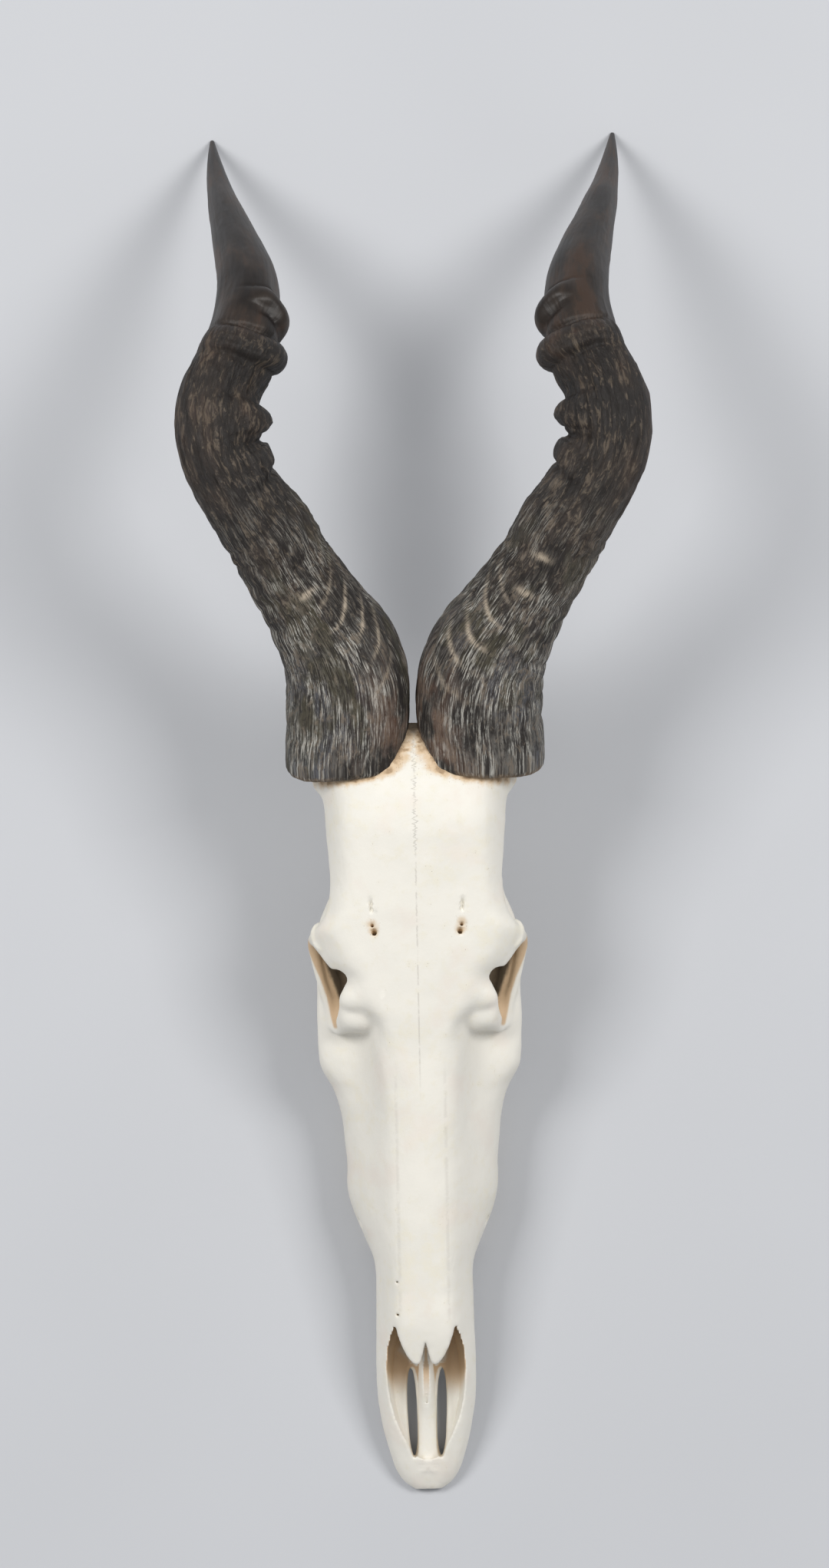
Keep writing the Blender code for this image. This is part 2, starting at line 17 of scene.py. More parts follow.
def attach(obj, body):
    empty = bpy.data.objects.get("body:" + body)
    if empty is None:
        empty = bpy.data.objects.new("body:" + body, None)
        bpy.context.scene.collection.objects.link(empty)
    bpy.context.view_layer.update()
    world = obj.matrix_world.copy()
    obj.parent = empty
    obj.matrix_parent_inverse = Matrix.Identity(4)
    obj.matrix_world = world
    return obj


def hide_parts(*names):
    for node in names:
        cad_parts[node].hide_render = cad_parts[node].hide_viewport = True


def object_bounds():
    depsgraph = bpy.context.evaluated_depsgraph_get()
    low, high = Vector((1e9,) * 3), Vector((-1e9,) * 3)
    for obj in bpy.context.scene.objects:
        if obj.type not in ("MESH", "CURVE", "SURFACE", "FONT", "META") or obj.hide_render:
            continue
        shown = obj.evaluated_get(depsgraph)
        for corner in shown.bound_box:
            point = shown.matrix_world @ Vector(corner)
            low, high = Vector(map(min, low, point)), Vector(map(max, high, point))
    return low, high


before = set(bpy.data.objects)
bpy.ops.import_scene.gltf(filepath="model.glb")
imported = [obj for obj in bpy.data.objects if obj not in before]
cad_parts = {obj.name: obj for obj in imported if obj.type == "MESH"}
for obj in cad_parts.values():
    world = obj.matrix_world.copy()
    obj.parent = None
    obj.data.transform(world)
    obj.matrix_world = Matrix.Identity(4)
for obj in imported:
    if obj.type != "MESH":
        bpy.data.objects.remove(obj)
CAD_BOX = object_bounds()

bl_info = {
    "name": "Hartebeest Skull",
    "version": (1, 0, 0),
    "blender": (4, 5, 0),
    "location": "3D View > Sidebar > Skull",
    "description": "Builds a bleached hartebeest skull with its horns, its cheek teeth and a plain studio",
    "category": "Add Mesh",
}

MM = 0.001
MIDDLE_STATION = 429.6  # station of the frame's origin
BODY = "root"
SIDES = {"left": -1, "right": 1}
HORN_SEEDS = {"left": 30, "right": 50}

BLOCK_LOW, BLOCK_HIGH = (-78, -8, -2), (78, 492, 172)  # corners of the space that the bone lies in
MELT_FROM, MELT_TO, MELT_REACH = 105, 330, 3  # stations between which the cheeks are rounded off, and mm

# Muzzle and cheeks, one row a station: station, roof height, then half width and height of the nasal edge,
# the upper side, the widest line and the tooth-bearing edge, and the height of the palate on the midline.
FACE = (
    (-3.5, 6.6, 5, 6.6, 7.2, 5.8, 8.2, 5, 6.2, 2.8, 2.4),
    (0, 9.2, 8.4, 9.2, 11.8, 7.4, 13.4, 5.4, 10, 2.0, 1.8),
    (5, 12.6, 11, 12.4, 15.6, 9.8, 17.8, 6.2, 13.4, 1.6, 1.3),
    (11, 16, 12.8, 15.6, 18.6, 12.2, 20.8, 7.2, 16.2, 1.6, 1.4),
    (19, 20, 14, 19.5, 21, 15.6, 23.4, 9, 18.8, 2.0, 2.0),
    (34, 28, 16, 27, 24.6, 21, 27.2, 12, 21.8, 4.0, 4.2),
    (54, 38, 17, 37, 27, 28, 30.4, 17, 24, 7.0, 7.5),
    (77, 50, 17, 49, 27, 38, 31, 22, 24.5, 10.0, 11.0),
    (97, 59.5, 15.5, 58.5, 25.5, 46, 30.6, 28, 24.5, 12.5, 13.0),
    (120, 65.5, 15.5, 63, 25, 51, 30.4, 32, 24.5, 14.5, 15.0),
    (140, 70.5, 15.5, 67.6, 25.5, 55, 31, 36, 26, 14.0, 16.0),
    (153, 74, 15.5, 70.8, 27.5, 58, 35.2, 37, 33, 13.0, 17.0),
    (168, 78, 15.8, 74.6, 29, 61, 41.3, 38, 38.5, 12.5, 18.0),
    (182, 82, 16, 78.2, 30.5, 63, 45.2, 42, 41.5, 12.5, 19.0),
    (201, 87, 16.4, 83, 31.5, 67, 45, 46, 42, 12.5, 20.0),
    (214, 90.5, 17, 86.3, 32, 69, 46, 48, 42.5, 12.5, 20.0),
    (234, 96, 18.5, 91.6, 32.5, 71, 48, 53, 42.5, 12.5, 20.0),
    (247, 99.5, 20, 94.5, 33, 72, 52, 57, 42.5, 14.0, 20.0),
    (259, 102.5, 22, 97.5, 34, 73, 60.5, 62, 42, 22.0, 24.0),
    (272, 104, 23.5, 99, 35, 75, 63.5, 66, 40, 40.0, 42.0),
    (286, 104, 24.5, 97, 36, 77, 62.5, 66.5, 38, 52.0, 54.0),
    (299, 100, 26, 94, 36, 77, 58.5, 66, 38, 58.0, 60.0),
)

# Forehead and horn pedicle: station, half width, then heights of the roof, the side edge and the underside.
FOREHEAD = (
    (246, 14, 92, 88, 80),
    (262, 19, 101.5, 95, 84),
    (275, 23.5, 107.5, 98, 84),
    (285, 27, 111, 100, 84),
    (292, 35, 113.2, 101, 85),
    (300, 43.5, 115.6, 103, 86),
    (312, 45, 119.6, 106, 88),
    (320, 53.5, 122.2, 107, 90),
    (332, 61, 126, 108, 91),
    (340, 64.5, 128.5, 108, 91),
    (350, 59.5, 132, 109, 88),
    (366, 54.5, 137, 114, 86),
    (385, 54, 143, 118, 86),
    (404, 54.8, 148.5, 120, 86),
    (421, 56.6, 150, 119, 86),
    (432, 60, 149.4, 118.5, 87),
    (440, 60.5, 148, 118, 88),
    (453, 50, 143, 118, 92),
    (461, 34, 135, 116, 98),
    (467, 20, 124, 114, 102),
)

# Rounded masses of bone on the midline: half width, length and height, then the middle, then softness.
MASSES = (
    ((40, 56, 43), (0, 362, 74), 9),  # braincase
    ((46, 30, 40), (0, 392, 66), 9),  # back of the skull
    ((38, 26, 26), (0, 418, 88), 9),  # shelf for the neck muscles
    ((17, 66, 9), (0, 358, 40), 8),  # skull base
    ((17, 34, 24), (0, 300, 72), 8),  # bone between the eye sockets
)
# The same on both sides of the midline.
PAIRED_MASSES = (
    ((11, 11, 14), (14.5, 421, 43), 4),  # occipital condyle
    ((9, 15, 13), (23, 377, 31), 3),  # ear capsule
    ((13, 12, 7), (39, 375, 57), 6),  # jaw joint
    ((10, 9, 9), (39, 392, 58), 5),  # ear passage
    ((12, 7, 13), (43.5, 288, 79), 8),  # front wall of the eye socket
    ((13, 20, 7), (45, 316, 58), 5),  # floor of the eye socket, painted dark as the shadow in its depth
    ((10, 8.5, 8), (40.5, 300, 102), 5),  # lump at the front corner of the eye socket
)

# Struts of bone on each side: points of (side offset, station, height, half thickness, half depth).
CHEEK_ARCH = (
    (44, 258, 54, 6, 7),
    (53, 277, 61, 6.5, 9),
    (58, 295, 64, 5.5, 8.5),
    (58.5, 315, 66, 4.5, 7),
    (60.5, 333, 69, 4.5, 8),
    (56, 350, 67, 4.5, 7),
    (49, 366, 62, 5, 6.5),
    (41, 382, 57, 7, 6),
)
SOCKET_SIDE = ((56, 334, 72, 4.5, 5), (56.5, 320, 67, 5, 5), (53.5, 305, 66, 5, 5), (50, 291, 69, 5, 6))
BROW_BAR = ((60.5, 338, 110, 4.5, 8), (62, 338, 92, 3.8, 5.5), (60.5, 337, 72, 4.2, 7))
EAR_SPUR = ((37, 403, 56, 7, 9), (36, 404, 38, 5, 7), (34, 403, 20, 3.6, 5), (33, 401, 5.5, 2.4, 3))
THROAT_PLATE = (
    (16, 252, 34, 3.4, 16),
    (14, 276, 34, 2.6, 20),
    (13, 300, 37, 2.6, 18),
    (14, 322, 42, 3.4, 10),
)
STRUTS = ((SOCKET_SIDE, 6), (BROW_BAR, 4), (EAR_SPUR, 4), (THROAT_PLATE, 3))

ORBIT_RIM = (
    (41.5, 311, 104),
    (51, 320.5, 106),
    (59, 331, 105.5),
    (63, 337.5, 95),
    (65, 334, 82),
    (62.8, 323, 75.5),
    (59.6, 310, 73.5),
    (56.2, 299, 73),
    (53.2, 286, 74),
    (49.5, 281.5, 81),
    (46.2, 285.5, 91),
    (45.6, 295, 100),
)
ORBIT_RIM_RADIUS = 3.0
SOCKET_NOTCH = ((8, 6, 11), (50, 312.5, 102))
SOCKET_LIP = ((281, 53.2), (290, 55.4), (302, 57.6), (313, 61.3), (325, 66.5), (336, 70))  # station, offset

# Hollows: half width, length and height, then the middle.
ORBIT = ((34, 22, 16), (52, 311, 88.5))
ORBIT_FRONT = ((10.5, 15, 12), (58, 297, 83))
ORBIT_CORNER = ((10.5, 8.5, 11), (37.5, 288.5, 90))  # bone closing the front corner
ORBIT_BACK = ((20, 22, 17), (44, 334, 78))
BRAIN_CAVITY = ((31, 45, 33), (0, 362, 76))
TEMPLE_HOLLOW = ((14, 34, 20), (62, 372, 98))
# Hollows of each side, with the softness that they are carved out with.
SIDE_HOLLOWS = ((ORBIT, 4), (ORBIT_FRONT, 3), (ORBIT_BACK, 6), (TEMPLE_HOLLOW, 8))
MARROW_HOLE = ((0, 440, 46, 10, 10), (0, 405, 50, 10, 10), (0, 385, 62, 12, 12))
THROAT_PASSAGE = ((0, 236, 46, 12, 11), (0, 262, 42, 11, 12), (0, 300, 24, 10, 14))

# Nasal cavity: station, half width at the top, half width at the floor, floor height, roof height.
NASAL_CAVITY = (
    (8, 5, 3, 12, 14.5),
    (17, 11, 7, 11, 17),
    (34, 18, 10.5, 11.5, 24),
    (54, 22.5, 12.5, 14, 34),
    (77, 24.5, 13.5, 17, 46.5),
    (97, 24, 15, 20, 55.5),
    (120, 22, 15.5, 22, 59.5),
    (140, 22, 16, 24, 65),
    (182, 24, 20, 27, 75),
    (220, 24, 20, 28, 83),
    (245, 21, 17, 30, 88),
    (258, 12, 9, 38, 84),
)
# Plan of the nose opening as (side offset, station) from its front to the notch beside the nasal bones.
NOSE_OPENING = (
    (0, 13), (6, 14.5), (11.5, 20), (16.8, 30.6), (20.9, 41), (23.3, 52), (24.2, 62), (24.3, 73), (23.3, 84),
    (21, 92), (18.6, 98.5), (17.2, 93), (14.6, 86), (11.6, 80), (8.4, 76), (5.6, 74.2), (3.4, 76), (1.7, 82),
    (0.2, 88.5),
)  # fmt: skip
NOSE_OPENING_BOTTOM, NOSE_OPENING_TOP = 14.0, 84.0
# Share of the plan at the bottom, mm of height over which it widens, and the station that it widens from.
NOSE_OPENING_TAPER, NOSE_OPENING_RISE, NOSE_OPENING_MIDDLE = 0.86, 24, 55.0
# Bar of bone on the floor of the nose: (side offset, station, height, half width, half depth).
NOSE_BAR = (
    (0, 9, 11, 6.5, 3.5),
    (0, 26, 13, 6.3, 4),
    (0, 44, 16.5, 6.2, 6),
    (0, 62, 23, 5.4, 9),
    (0, 108, 34, 2.0, 14),
)
NOSE_BAR_GROOVE = ((0, 48, 23.5, 0.5), (0, 60, 31.5, 1.2), (0, 84, 42, 1.6))
PALATE_SLOT = (9.2, 44.5, 3.1, 27.5)  # side offset, station, half width, half length
PALATE_SLOT_TURN = radians(-1.5)

# Small holes of each side: points of (side offset, station, height below or above the roof, radius).
BROW_HOLES = (
    ((26.4, 339.5, 2, 1.7), (25.6, 336, -8, 1.5)),
    ((27.4, 343.5, 2, 1.1), (26.4, 339, -6, 1.0)),
)
BROW_GROOVE = ((28.2, 359, 0.6, 0.8), (27.9, 356, -0.9, 1.1), (27.6, 351, -1.1, 1.0))
NASAL_PITS = ((-16.7, 125.7), (-16.7, 105.3))
CHEEK_HOLE = ((42, 160, 32.5, 2.4), (30, 174, 40, 3.0), (20, 188, 46, 3.0))
PALATE_HOLE = ((10, 214, 14, 1.8), (11, 222, 26, 1.8))
FRONT_NOTCH = ((0, -5, 7, 1.3), (0, 2, 12, 1.1), (0, 9, 16, 0.8))

# Painted shade darkens places that are crowded by bone: mm looked at each way, around a point mm off the
# surface.
CROWDING_REACH, CROWDING_AWAY = 11, 7
# Stain on the bone: first station, mm of full stain, mm over which it fades, and mm round a brow hole.
STAIN_FROM, STAIN_CORE, STAIN_FADE, HOLE_STAIN = 405, 2.4, 3.0, 5.0

# Horn sheath: centre line of the right horn as (side offset, station, height, half width, half depth).
HORN = (
    (41.3, 458, 124, 37.2, 37),
    (40.5, 479, 133, 37.6, 37),
    (42.2, 496, 141, 37.6, 36.5),
    (48.0, 512, 148.5, 35.2, 35),
    (57.6, 527.5, 156, 31.6, 33),
    (67.8, 543.5, 163.5, 28.4, 31.5),
    (77.8, 558, 171, 26.8, 30),
    (88.4, 577, 181, 26.8, 28.8),
    (99.8, 593, 189.5, 25.6, 28),
    (109.6, 609, 196.5, 25.2, 27.3),
    (115.6, 623, 201, 25.2, 26.8),
    (117, 638, 203, 25.6, 26.3),
    (114.8, 655, 202, 24.8, 26),
    (108.6, 673, 197.5, 23.6, 25),
    (102.6, 692, 190, 21.6, 23.4),
    (100, 712, 178.5, 19.8, 21.4),
    (100.8, 733, 162, 18.4, 19.4),
    (105.4, 753, 141, 16.2, 17),
    (111.4, 774, 116, 13.4, 14.2),
    (116.6, 793, 92, 10.9, 11.6),
    (121, 810, 68, 8.6, 9.0),
    (124.8, 828, 44, 6.4, 6.5),
    (127.6, 846, 21, 3.8, 3.8),
    (129.4, 861, 0.8, 1.5, 1.5),
)
# Both horns lean to the right, which is +x, as they rise: mm along the horn, then mm sideways.
HORN_LEAN = ((0, 0), (25, 0), (60, 1.8), (100, 3.5), (180, 4.4), (250, 2.9), (315, 5.0), (460, 5.4))
RIM_POINT = (39.8, 448.5, 114.5)  # a point on the plane of the sheath's open end
RIM_NORMAL = (0.08, 0.87, 0.48)
# How far along the horn its rings turn square to the path, and the share of the rim's slant they start with.
RIM_SLANT_REACH, RIM_SLANT_KEPT = 62.0, 0.999
SHEATH_WALL, SHEATH_RECESS = 12.0, 14.0  # mm: thickness at the open end, and how far the end is hollow
RIM_ROUND = 4.6  # mm: radius of the open end's edge
GRAIN_RADIUS = 34  # mm: radius of the tube that the grain of a horn is laid out on
BASE_SQUARENESS, SQUARE_REACH = 2.8, 80.0  # how square the base is, and mm over which it turns round
# Knuckles and creases: mm along the horn, mm proud, half length, the turn they face and how far round they
# spread in degrees (0 faces inwards, 90 the front), and mm that they sag towards the base on the front.
KNUCKLES = (
    (188, 3.6, 9, 4, 42, 2),
    (222, 6.6, 11, 4, 44, 3),
    (266.5, 6.4, 8.5, 6, 46, 6),
    (266, 6.6, 8, 72, 62, 6),
    (290.5, 6.6, 7, 6, 36, 0),
    (294, 3.6, 6.5, 56, 24, 0),
)
CREASES = (
    (176, 2.4, 2.6, 4, 44, 2),
    (204, 2.6, 3.5, 4, 46, 2),
    (242, 3.6, 9, 4, 50, 2),
    (276.5, 3.0, 1.5, 60, 64, 6),
    (264, 1.2, 1.2, 74, 40, 7),
    (284, 2.2, 3.4, 44, 24, 0),
    (302.5, 0.7, 1.1, 48, 40, 2),
)
# Light growth lines of the front: mm along the horn where they meet the front, and how strong they are.
GROWTH_LINES = ((36, 0.5), (49, 1.0), (62, 1.0), (78, 0.9), (93, 0.45))
GROWTH_LINE_CLIMB = 34.0
# Pale scars on each horn: mm along it and the turn they face in degrees.
SCARS = {"left": ((106, 76),), "right": ((105, 78), (130, 74))}
# Stub of bone in the horn: half width and half depth, then mm behind and ahead of the rim plane.
CORE_RADII = (24.5, 25.0)
CORE_DEPTH, CORE_HEIGHT = 15.0, 16.0

# Cheek teeth of one side, front to back: name, length, width, lobes along the tooth.
TEETH = (
    ("premolar_1", 9.5, 9.5, 1),
    ("premolar_2", 11.5, 11.5, 1),
    ("premolar_3", 12.0, 13.0, 1),
    ("molar_1", 17.0, 15.0, 2),
    ("molar_2", 20.5, 16.5, 2),
    ("molar_3", 21.0, 15.5, 2),
)
TOOTH_LOBE = 0.11  # how far a tooth's walls bulge at a lobe, as a share of its half width
TOOTH_SQUARENESS, TOOTH_WORN_SHARE = 3.2, 0.955  # and the worn face as a share of the tooth's outline

# Studio light: colours of the lamps and of the light from all round.
LIGHT_COLOUR, SKY_COLOUR = (1.0, 0.985, 0.96), (0.97, 0.98, 1.0)
LIGHT_BEHIND, LIGHT_AIM = 0.55, (0, 0, 0.05)  # metres: lights behind the middle, and the point they face
SENSOR_WIDTH = 36.0  # mm


# ---------------------------------------------------------------------------------------------- curves


def place(points):
    """Points in metres in the frame, from points of (side offset, station, height) in millimetres."""
    return (np.asarray(points, float) - (0, MIDDLE_STATION, 0)) * MM


def hermite(rows, at):
    """A table whose first column rises, read at the values in at along smooth curves."""
    table = np.array(rows, float)
    knots, values = table[:, 0], table[:, 1:]
    steps = np.diff(knots)[:, None]
    slopes = np.diff(values, axis=0) / steps
    inner = (slopes[1:] * steps[:-1] + slopes[:-1] * steps[1:]) / (steps[1:] + steps[:-1])
    tangents = np.vstack([slopes[:1], inner, slopes[-1:]])
    at = np.clip(at, knots[0], knots[-1])
    k = np.clip(np.searchsorted(knots, at, side="right") - 1, 0, len(knots) - 2)
    h = steps[k]
    t = ((at - knots[k]) / h[:, 0])[:, None]
    return (
        values[k] * (2 * t**3 - 3 * t**2 + 1)
        + values[k + 1] * (3 * t**2 - 2 * t**3)
        + tangents[k] * h * (t**3 - 2 * t**2 + t)
        + tangents[k + 1] * h * (t**3 - t**2)
    )


def along(rows, step):
    """The rows of a station table at even steps, each with its station first."""
    first, last = rows[0][0], rows[-1][0]
    stations = np.linspace(first, last, max(2, round((last - first) / step)) + 1)
    return np.column_stack([stations, hermite(rows, stations)])


def closed_curve(points, count):
    """A closed smooth curve through points, as count points."""
    loop = np.array(list(points) + list(points[:1]), float)
    spans = np.linalg.norm(np.diff(loop, axis=0), axis=1)
    knots = np.concatenate([[0], np.cumsum(spans)])
    wrapped = np.vstack([loop[-3:-1], loop, loop[1:3]])
    length = knots[-1]
    positions = np.concatenate([knots[-3:-1] - length, knots, knots[1:3] + length])
    return hermite(np.column_stack([positions, wrapped]), np.linspace(0, length, count, endpoint=False))


def full_turn(count):
    """Angles of count even steps round a circle."""
    return np.linspace(0, 2 * pi, count, endpoint=False)


def unit(vectors):
    """Vectors scaled to a length of 1."""
    return vectors / np.linalg.norm(vectors, axis=-1, keepdims=True)


def path_lengths(rows):
    """How far along its path each row's point lies."""
    return np.concatenate([[0], np.cumsum(np.linalg.norm(np.diff(rows[:, :3], axis=0), axis=1))])


def smooth_path(rows, count):
    """Even steps along the smooth path through rows that start with a point, and how far along each lies."""
    rows = np.array(rows, float)
    lengths = path_lengths(rows)
    spots = np.linspace(0, lengths[-1], count)
    return hermite(np.column_stack([lengths, rows]), spots), spots


def frames(points):
    """Tangent, side and upright directions at each point of a path, carried along it without twisting."""
    tangents = unit(np.gradient(points, axis=0))
    side = np.cross(tangents[0], (0, 0, 1))
    if np.linalg.norm(side) < 0.2:
        side = np.array((1.0, 0, 0))
    sides = []
    for tangent in tangents:
        side = unit(side - tangent * (side @ tangent))
        sides.append(side)
    sides = np.array(sides)
    return tangents, sides, np.cross(sides, tangents)


def lumpiness(points, size, seed):
    """Smooth random values from -1 to 1 at points, with lumps about size apart."""
    cells = 32
    table = np.random.default_rng(seed).uniform(-1, 1, (cells, cells, cells))
    scaled = np.asarray(points, float) / size
    whole = np.floor(scaled).astype(int)
    part = scaled - whole
    part = part * part * (3 - 2 * part)
    total = np.zeros(scaled.shape[:-1])
    for corner in np.ndindex(2, 2, 2):
        index = (whole + corner) % cells
        share = np.prod(np.where(corner, part, 1 - part), axis=-1)
        total += share * table[index[..., 0], index[..., 1], index[..., 2]]
    return total


# ------------------------------------------------------------------------------------- bone, as distances


class BoneBlock:
    """Signed distances in millimetres on a block of points, negative inside the bone.

    Shapes are blended in or carved out with a softness: the width in millimetres over which the new
    surface melts into the old one.
    """

    FAR = 10.0  # mm from the surface up to which distances are kept

    def __init__(self, low, high, step):
        self.step = step
        self.first = np.floor(np.array(low) / step).astype(int)
        self.shape = np.ceil(np.array(high) / step).astype(int) - self.first + 1
        self.field = np.full(self.shape, self.FAR, np.float32)

    def window(self, low, high):
        """The part of the block around a box, and its coordinates along each axis."""
        last = self.shape - 1
        lowest = np.clip(np.floor(np.array(low) / self.step).astype(int) - self.first, 0, last)
        highest = np.clip(np.ceil(np.array(high) / self.step).astype(int) - self.first, lowest, last)
        part = tuple(slice(a, b + 1) for a, b in zip(lowest, highest))
        axes = []
        for axis in range(3):
            spots = (np.arange(lowest[axis], highest[axis] + 1) + self.first[axis]) * self.step
            axes.append(spots.astype(np.float32).reshape([-1 if k == axis else 1 for k in range(3)]))
        return part, axes

    def merge(self, part, distance, softness, cut):
        """Blends a shape in, or carves it out if cut."""
        field = self.field[part]
        sign = -1 if cut else 1
        near = np.clip(softness - np.abs(field - sign * distance), 0, None)
        joined = np.maximum(field, -distance) if cut else np.minimum(field, distance)
        self.field[part] = joined - sign * near * near / (4 * softness)

    def loft(self, rings, softness, cut=False, looped=False):
        """A closed skin over a row of rings; looped joins the last ring to the first."""
        points, quads, triangles = skin(np.asarray(rings, float), looped)
        grid = vdb.FloatGrid.createLevelSetFromPolygons(
            points.astype(np.float32),
            triangles=triangles.astype(np.uint32),
            quads=quads.astype(np.uint32),
            transform=vdb.createLinearTransform(voxelSize=self.step),
            halfWidth=self.FAR / self.step,
        )
        part, _ = self.window(points.min(0) - self.FAR, points.max(0) + self.FAR)
        distance = np.full(self.field[part].shape, self.FAR, np.float32)
        start = [int(piece.start + first) for piece, first in zip(part, self.first)]
        grid.copyToArray(distance, ijk=tuple(start))
        self.merge(part, distance, softness, cut)

    def melt(self, low, high, reach, border=24, rounds=2):
        """Rounds off everything between two stations by averaging the distances within reach mm."""
        part, axes = self.window((BLOCK_LOW[0], low, BLOCK_LOW[2]), (BLOCK_HIGH[0], high, BLOCK_HIGH[2]))
        share = fade(axes[1], low, low + border) * (1 - fade(axes[1], high - border, high))
        smooth = self.field[part]
        for _ in range(rounds):
            smooth = box_average(smooth, max(1, round(reach / self.step)))
        self.field[part] += (smooth - self.field[part]) * share

    def lump(self, radii, middle, softness, cut=False, side=1):
        """An ellipsoid."""
        middle = np.array(middle, float) * (side, 1, 1)
        radii = np.array(radii, float)
        reach = radii + softness + 2
        part, axes = self.window(middle - reach, middle + reach)
        near = sum(((spots - at) / r) ** 2 for spots, at, r in zip(axes, middle, radii)) ** 0.5
        slope = sum(((spots - at) / r**2) ** 2 for spots, at, r in zip(axes, middle, radii)) ** 0.5
        self.merge(part, near * (near - 1) / np.maximum(slope, 1e-4), softness, cut)

    def rod(self, points, softness, cut=False, side=1):
        """A chain of round rods through points of (side offset, station, height, radius)."""
        rows = np.array(points, float) * (side, 1, 1, 1)
        reach = rows[:, 3].max() + softness + 2
        part, axes = self.window(rows[:, :3].min(0) - reach, rows[:, :3].max(0) + reach)
        distance = np.full(self.field[part].shape, self.FAR, np.float32)
        for start, end in zip(rows, rows[1:]):
            run = end[:3] - start[:3]
            offsets = [spots - at for spots, at in zip(axes, start)]
            share = np.clip(sum(o * r for o, r in zip(offsets, run)) / (run @ run), 0, 1)
            gap = sum((o - share * r) ** 2 for o, r in zip(offsets, run)) ** 0.5
            distance = np.minimum(distance, gap - start[3] - (end[3] - start[3]) * share)
        self.merge(part, distance, softness, cut)

    def roof(self, x, station):
        """The height of the topmost bone at side offsets and stations."""
        i, j = (
            np.clip(np.round(np.asarray(spots) / self.step).astype(int) - self.first[k], 0, self.shape[k] - 1)
            for k, spots in enumerate((x, station))
        )
        inside = self.field[i, j] < 0
        top = inside.shape[-1] - 1 - np.argmax(inside[..., ::-1], axis=-1)
        return (top + self.first[2] + 0.5) * self.step

    def crowding(self, reach):
        """How full of bone the space around each point is, from 0 to 1, within reach mm each way."""
        return box_average((self.field < 0).astype(np.float32), max(1, round(reach / self.step)))

    def sample(self, values, points):
        """Values of the block at points, each from the nearest grid point."""
        index = np.clip(np.round(points / self.step).astype(int) - self.first, 0, self.shape - 1)
        return values[index[:, 0], index[:, 1], index[:, 2]]

    def surface(self):
        """Points, quads and triangles of the bone's skin."""
        limit = 3 * self.step
        grid = vdb.FloatGrid(limit)
        grid.copyFromArray(np.clip(self.field, -limit, limit), ijk=tuple(int(k) for k in self.first))
        grid.transform = vdb.createLinearTransform(voxelSize=self.step)
        points, triangles, quads = grid.convertToPolygons(isovalue=0.0, adaptivity=0.0)
        return np.asarray(points, float), np.asarray(quads, int), np.asarray(triangles, int)


def box_average(values, width):
    """Each value averaged with its neighbours up to width grid points away along every axis."""
    for axis in range(3):
        padded = np.pad(values, [(width + 1, width) if k == axis else (0, 0) for k in range(3)], mode="edge")
        sums = np.cumsum(padded, axis=axis, dtype=np.float64)
        low, high = [slice(None)] * 3, [slice(None)] * 3
        low[axis] = slice(0, values.shape[axis])
        high[axis] = slice(2 * width + 1, None)
        values = ((sums[tuple(high)] - sums[tuple(low)]) / (2 * width + 1)).astype(np.float32)
    return values


def skin(rings, looped=False):
    """Points, quads and triangles of a closed skin over rings of equally many points."""
    count, size = rings.shape[:2]
    index = np.arange(count * size).reshape(count, size)
    following = np.roll(index, -1, axis=0) if looped else index[1:]
    current = index if looped else index[:-1]
    around = [current, np.roll(current, -1, 1), np.roll(following, -1, 1), following]
    quads = np.stack(around, -1).reshape(-1, 4)
    points = rings.reshape(-1, 3)
    if looped:
        return points, quads, np.zeros((0, 3), int)
    ends = np.array([rings[0].mean(0), rings[-1].mean(0)])
    first, last = index[0], index[-1]
    middle = count * size
    start = np.stack([np.full(size, middle), np.roll(first, -1), first], -1)
    finish = np.stack([np.full(size, middle + 1), last, np.roll(last, -1)], -1)
    return np.vstack([points, ends]), quads, np.vstack([start, finish])


def new_piece(name, points, quads, triangles, looks, stands_for):
    """A mesh object from points in metres that rides on the body in place of CAD nodes."""
    if not len(points) or not np.isfinite(points).all():
        raise RuntimeError(f"{name} has no sound surface")
    mesh = bpy.data.meshes.new(name)
    corners = np.concatenate([quads.ravel(), triangles.ravel()])
    sizes = np.concatenate([np.full(len(quads), 4), np.full(len(triangles), 3)])
    mesh.vertices.add(len(points))
    mesh.vertices.foreach_set("co", np.asarray(points, np.float32).ravel())
    mesh.loops.add(len(corners))
    mesh.loops.foreach_set("vertex_index", corners.astype(np.int32))
    mesh.polygons.add(len(sizes))
    starts = np.concatenate([[0], np.cumsum(sizes)[:-1]])
    mesh.polygons.foreach_set("loop_start", starts.astype(np.int32))
    mesh.update(calc_edges=True)
    mesh.validate()
    mesh.shade_smooth()
    if looks:
        mesh.materials.append(looks)
    obj = bpy.data.objects.new(name, mesh)
    bpy.context.scene.collection.objects.link(obj)
    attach(obj, BODY)
    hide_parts(*stands_for)
    return obj


def vectors(items, field):
    """One vector of each item of a mesh, as an array."""
    values = np.empty(len(items) * 3, np.float32)
    items.foreach_get(field, values)
    return values.reshape(-1, 3).astype(float)


def keep_values(mesh, name, values):
    """Stores a number or a vector for each vertex under a name that materials can read."""
    values = np.asarray(values, np.float32)
    kind, field = ("FLOAT_VECTOR", "vector") if values.ndim == 2 else ("FLOAT", "value")
    mesh.attributes.new(name, kind, "POINT").data.foreach_set(field, values.ravel())


def fade(values, start, end):
    """0 at start and 1 at end, with a smooth run between; start may lie above end."""
    share = np.clip((values - start) / (end - start), 0, 1)
    return share * share * (3 - 2 * share)


# ------------------------------------------------------------------------------------------- cranium


def section_rings(rows, half_section, step, count=96):
    """Rings from rows of a station table, each a half section mirrored across the midline."""
    rings = []
    for row in along(rows, step):
        half = half_section(row)
        outline = half + [(-x, z) for x, z in reversed(half[1:-1])]
        curve = closed_curve(outline, count)
        rings.append(np.column_stack([curve[:, 0], np.full(count, row[0]), curve[:, 1]]))
    return rings


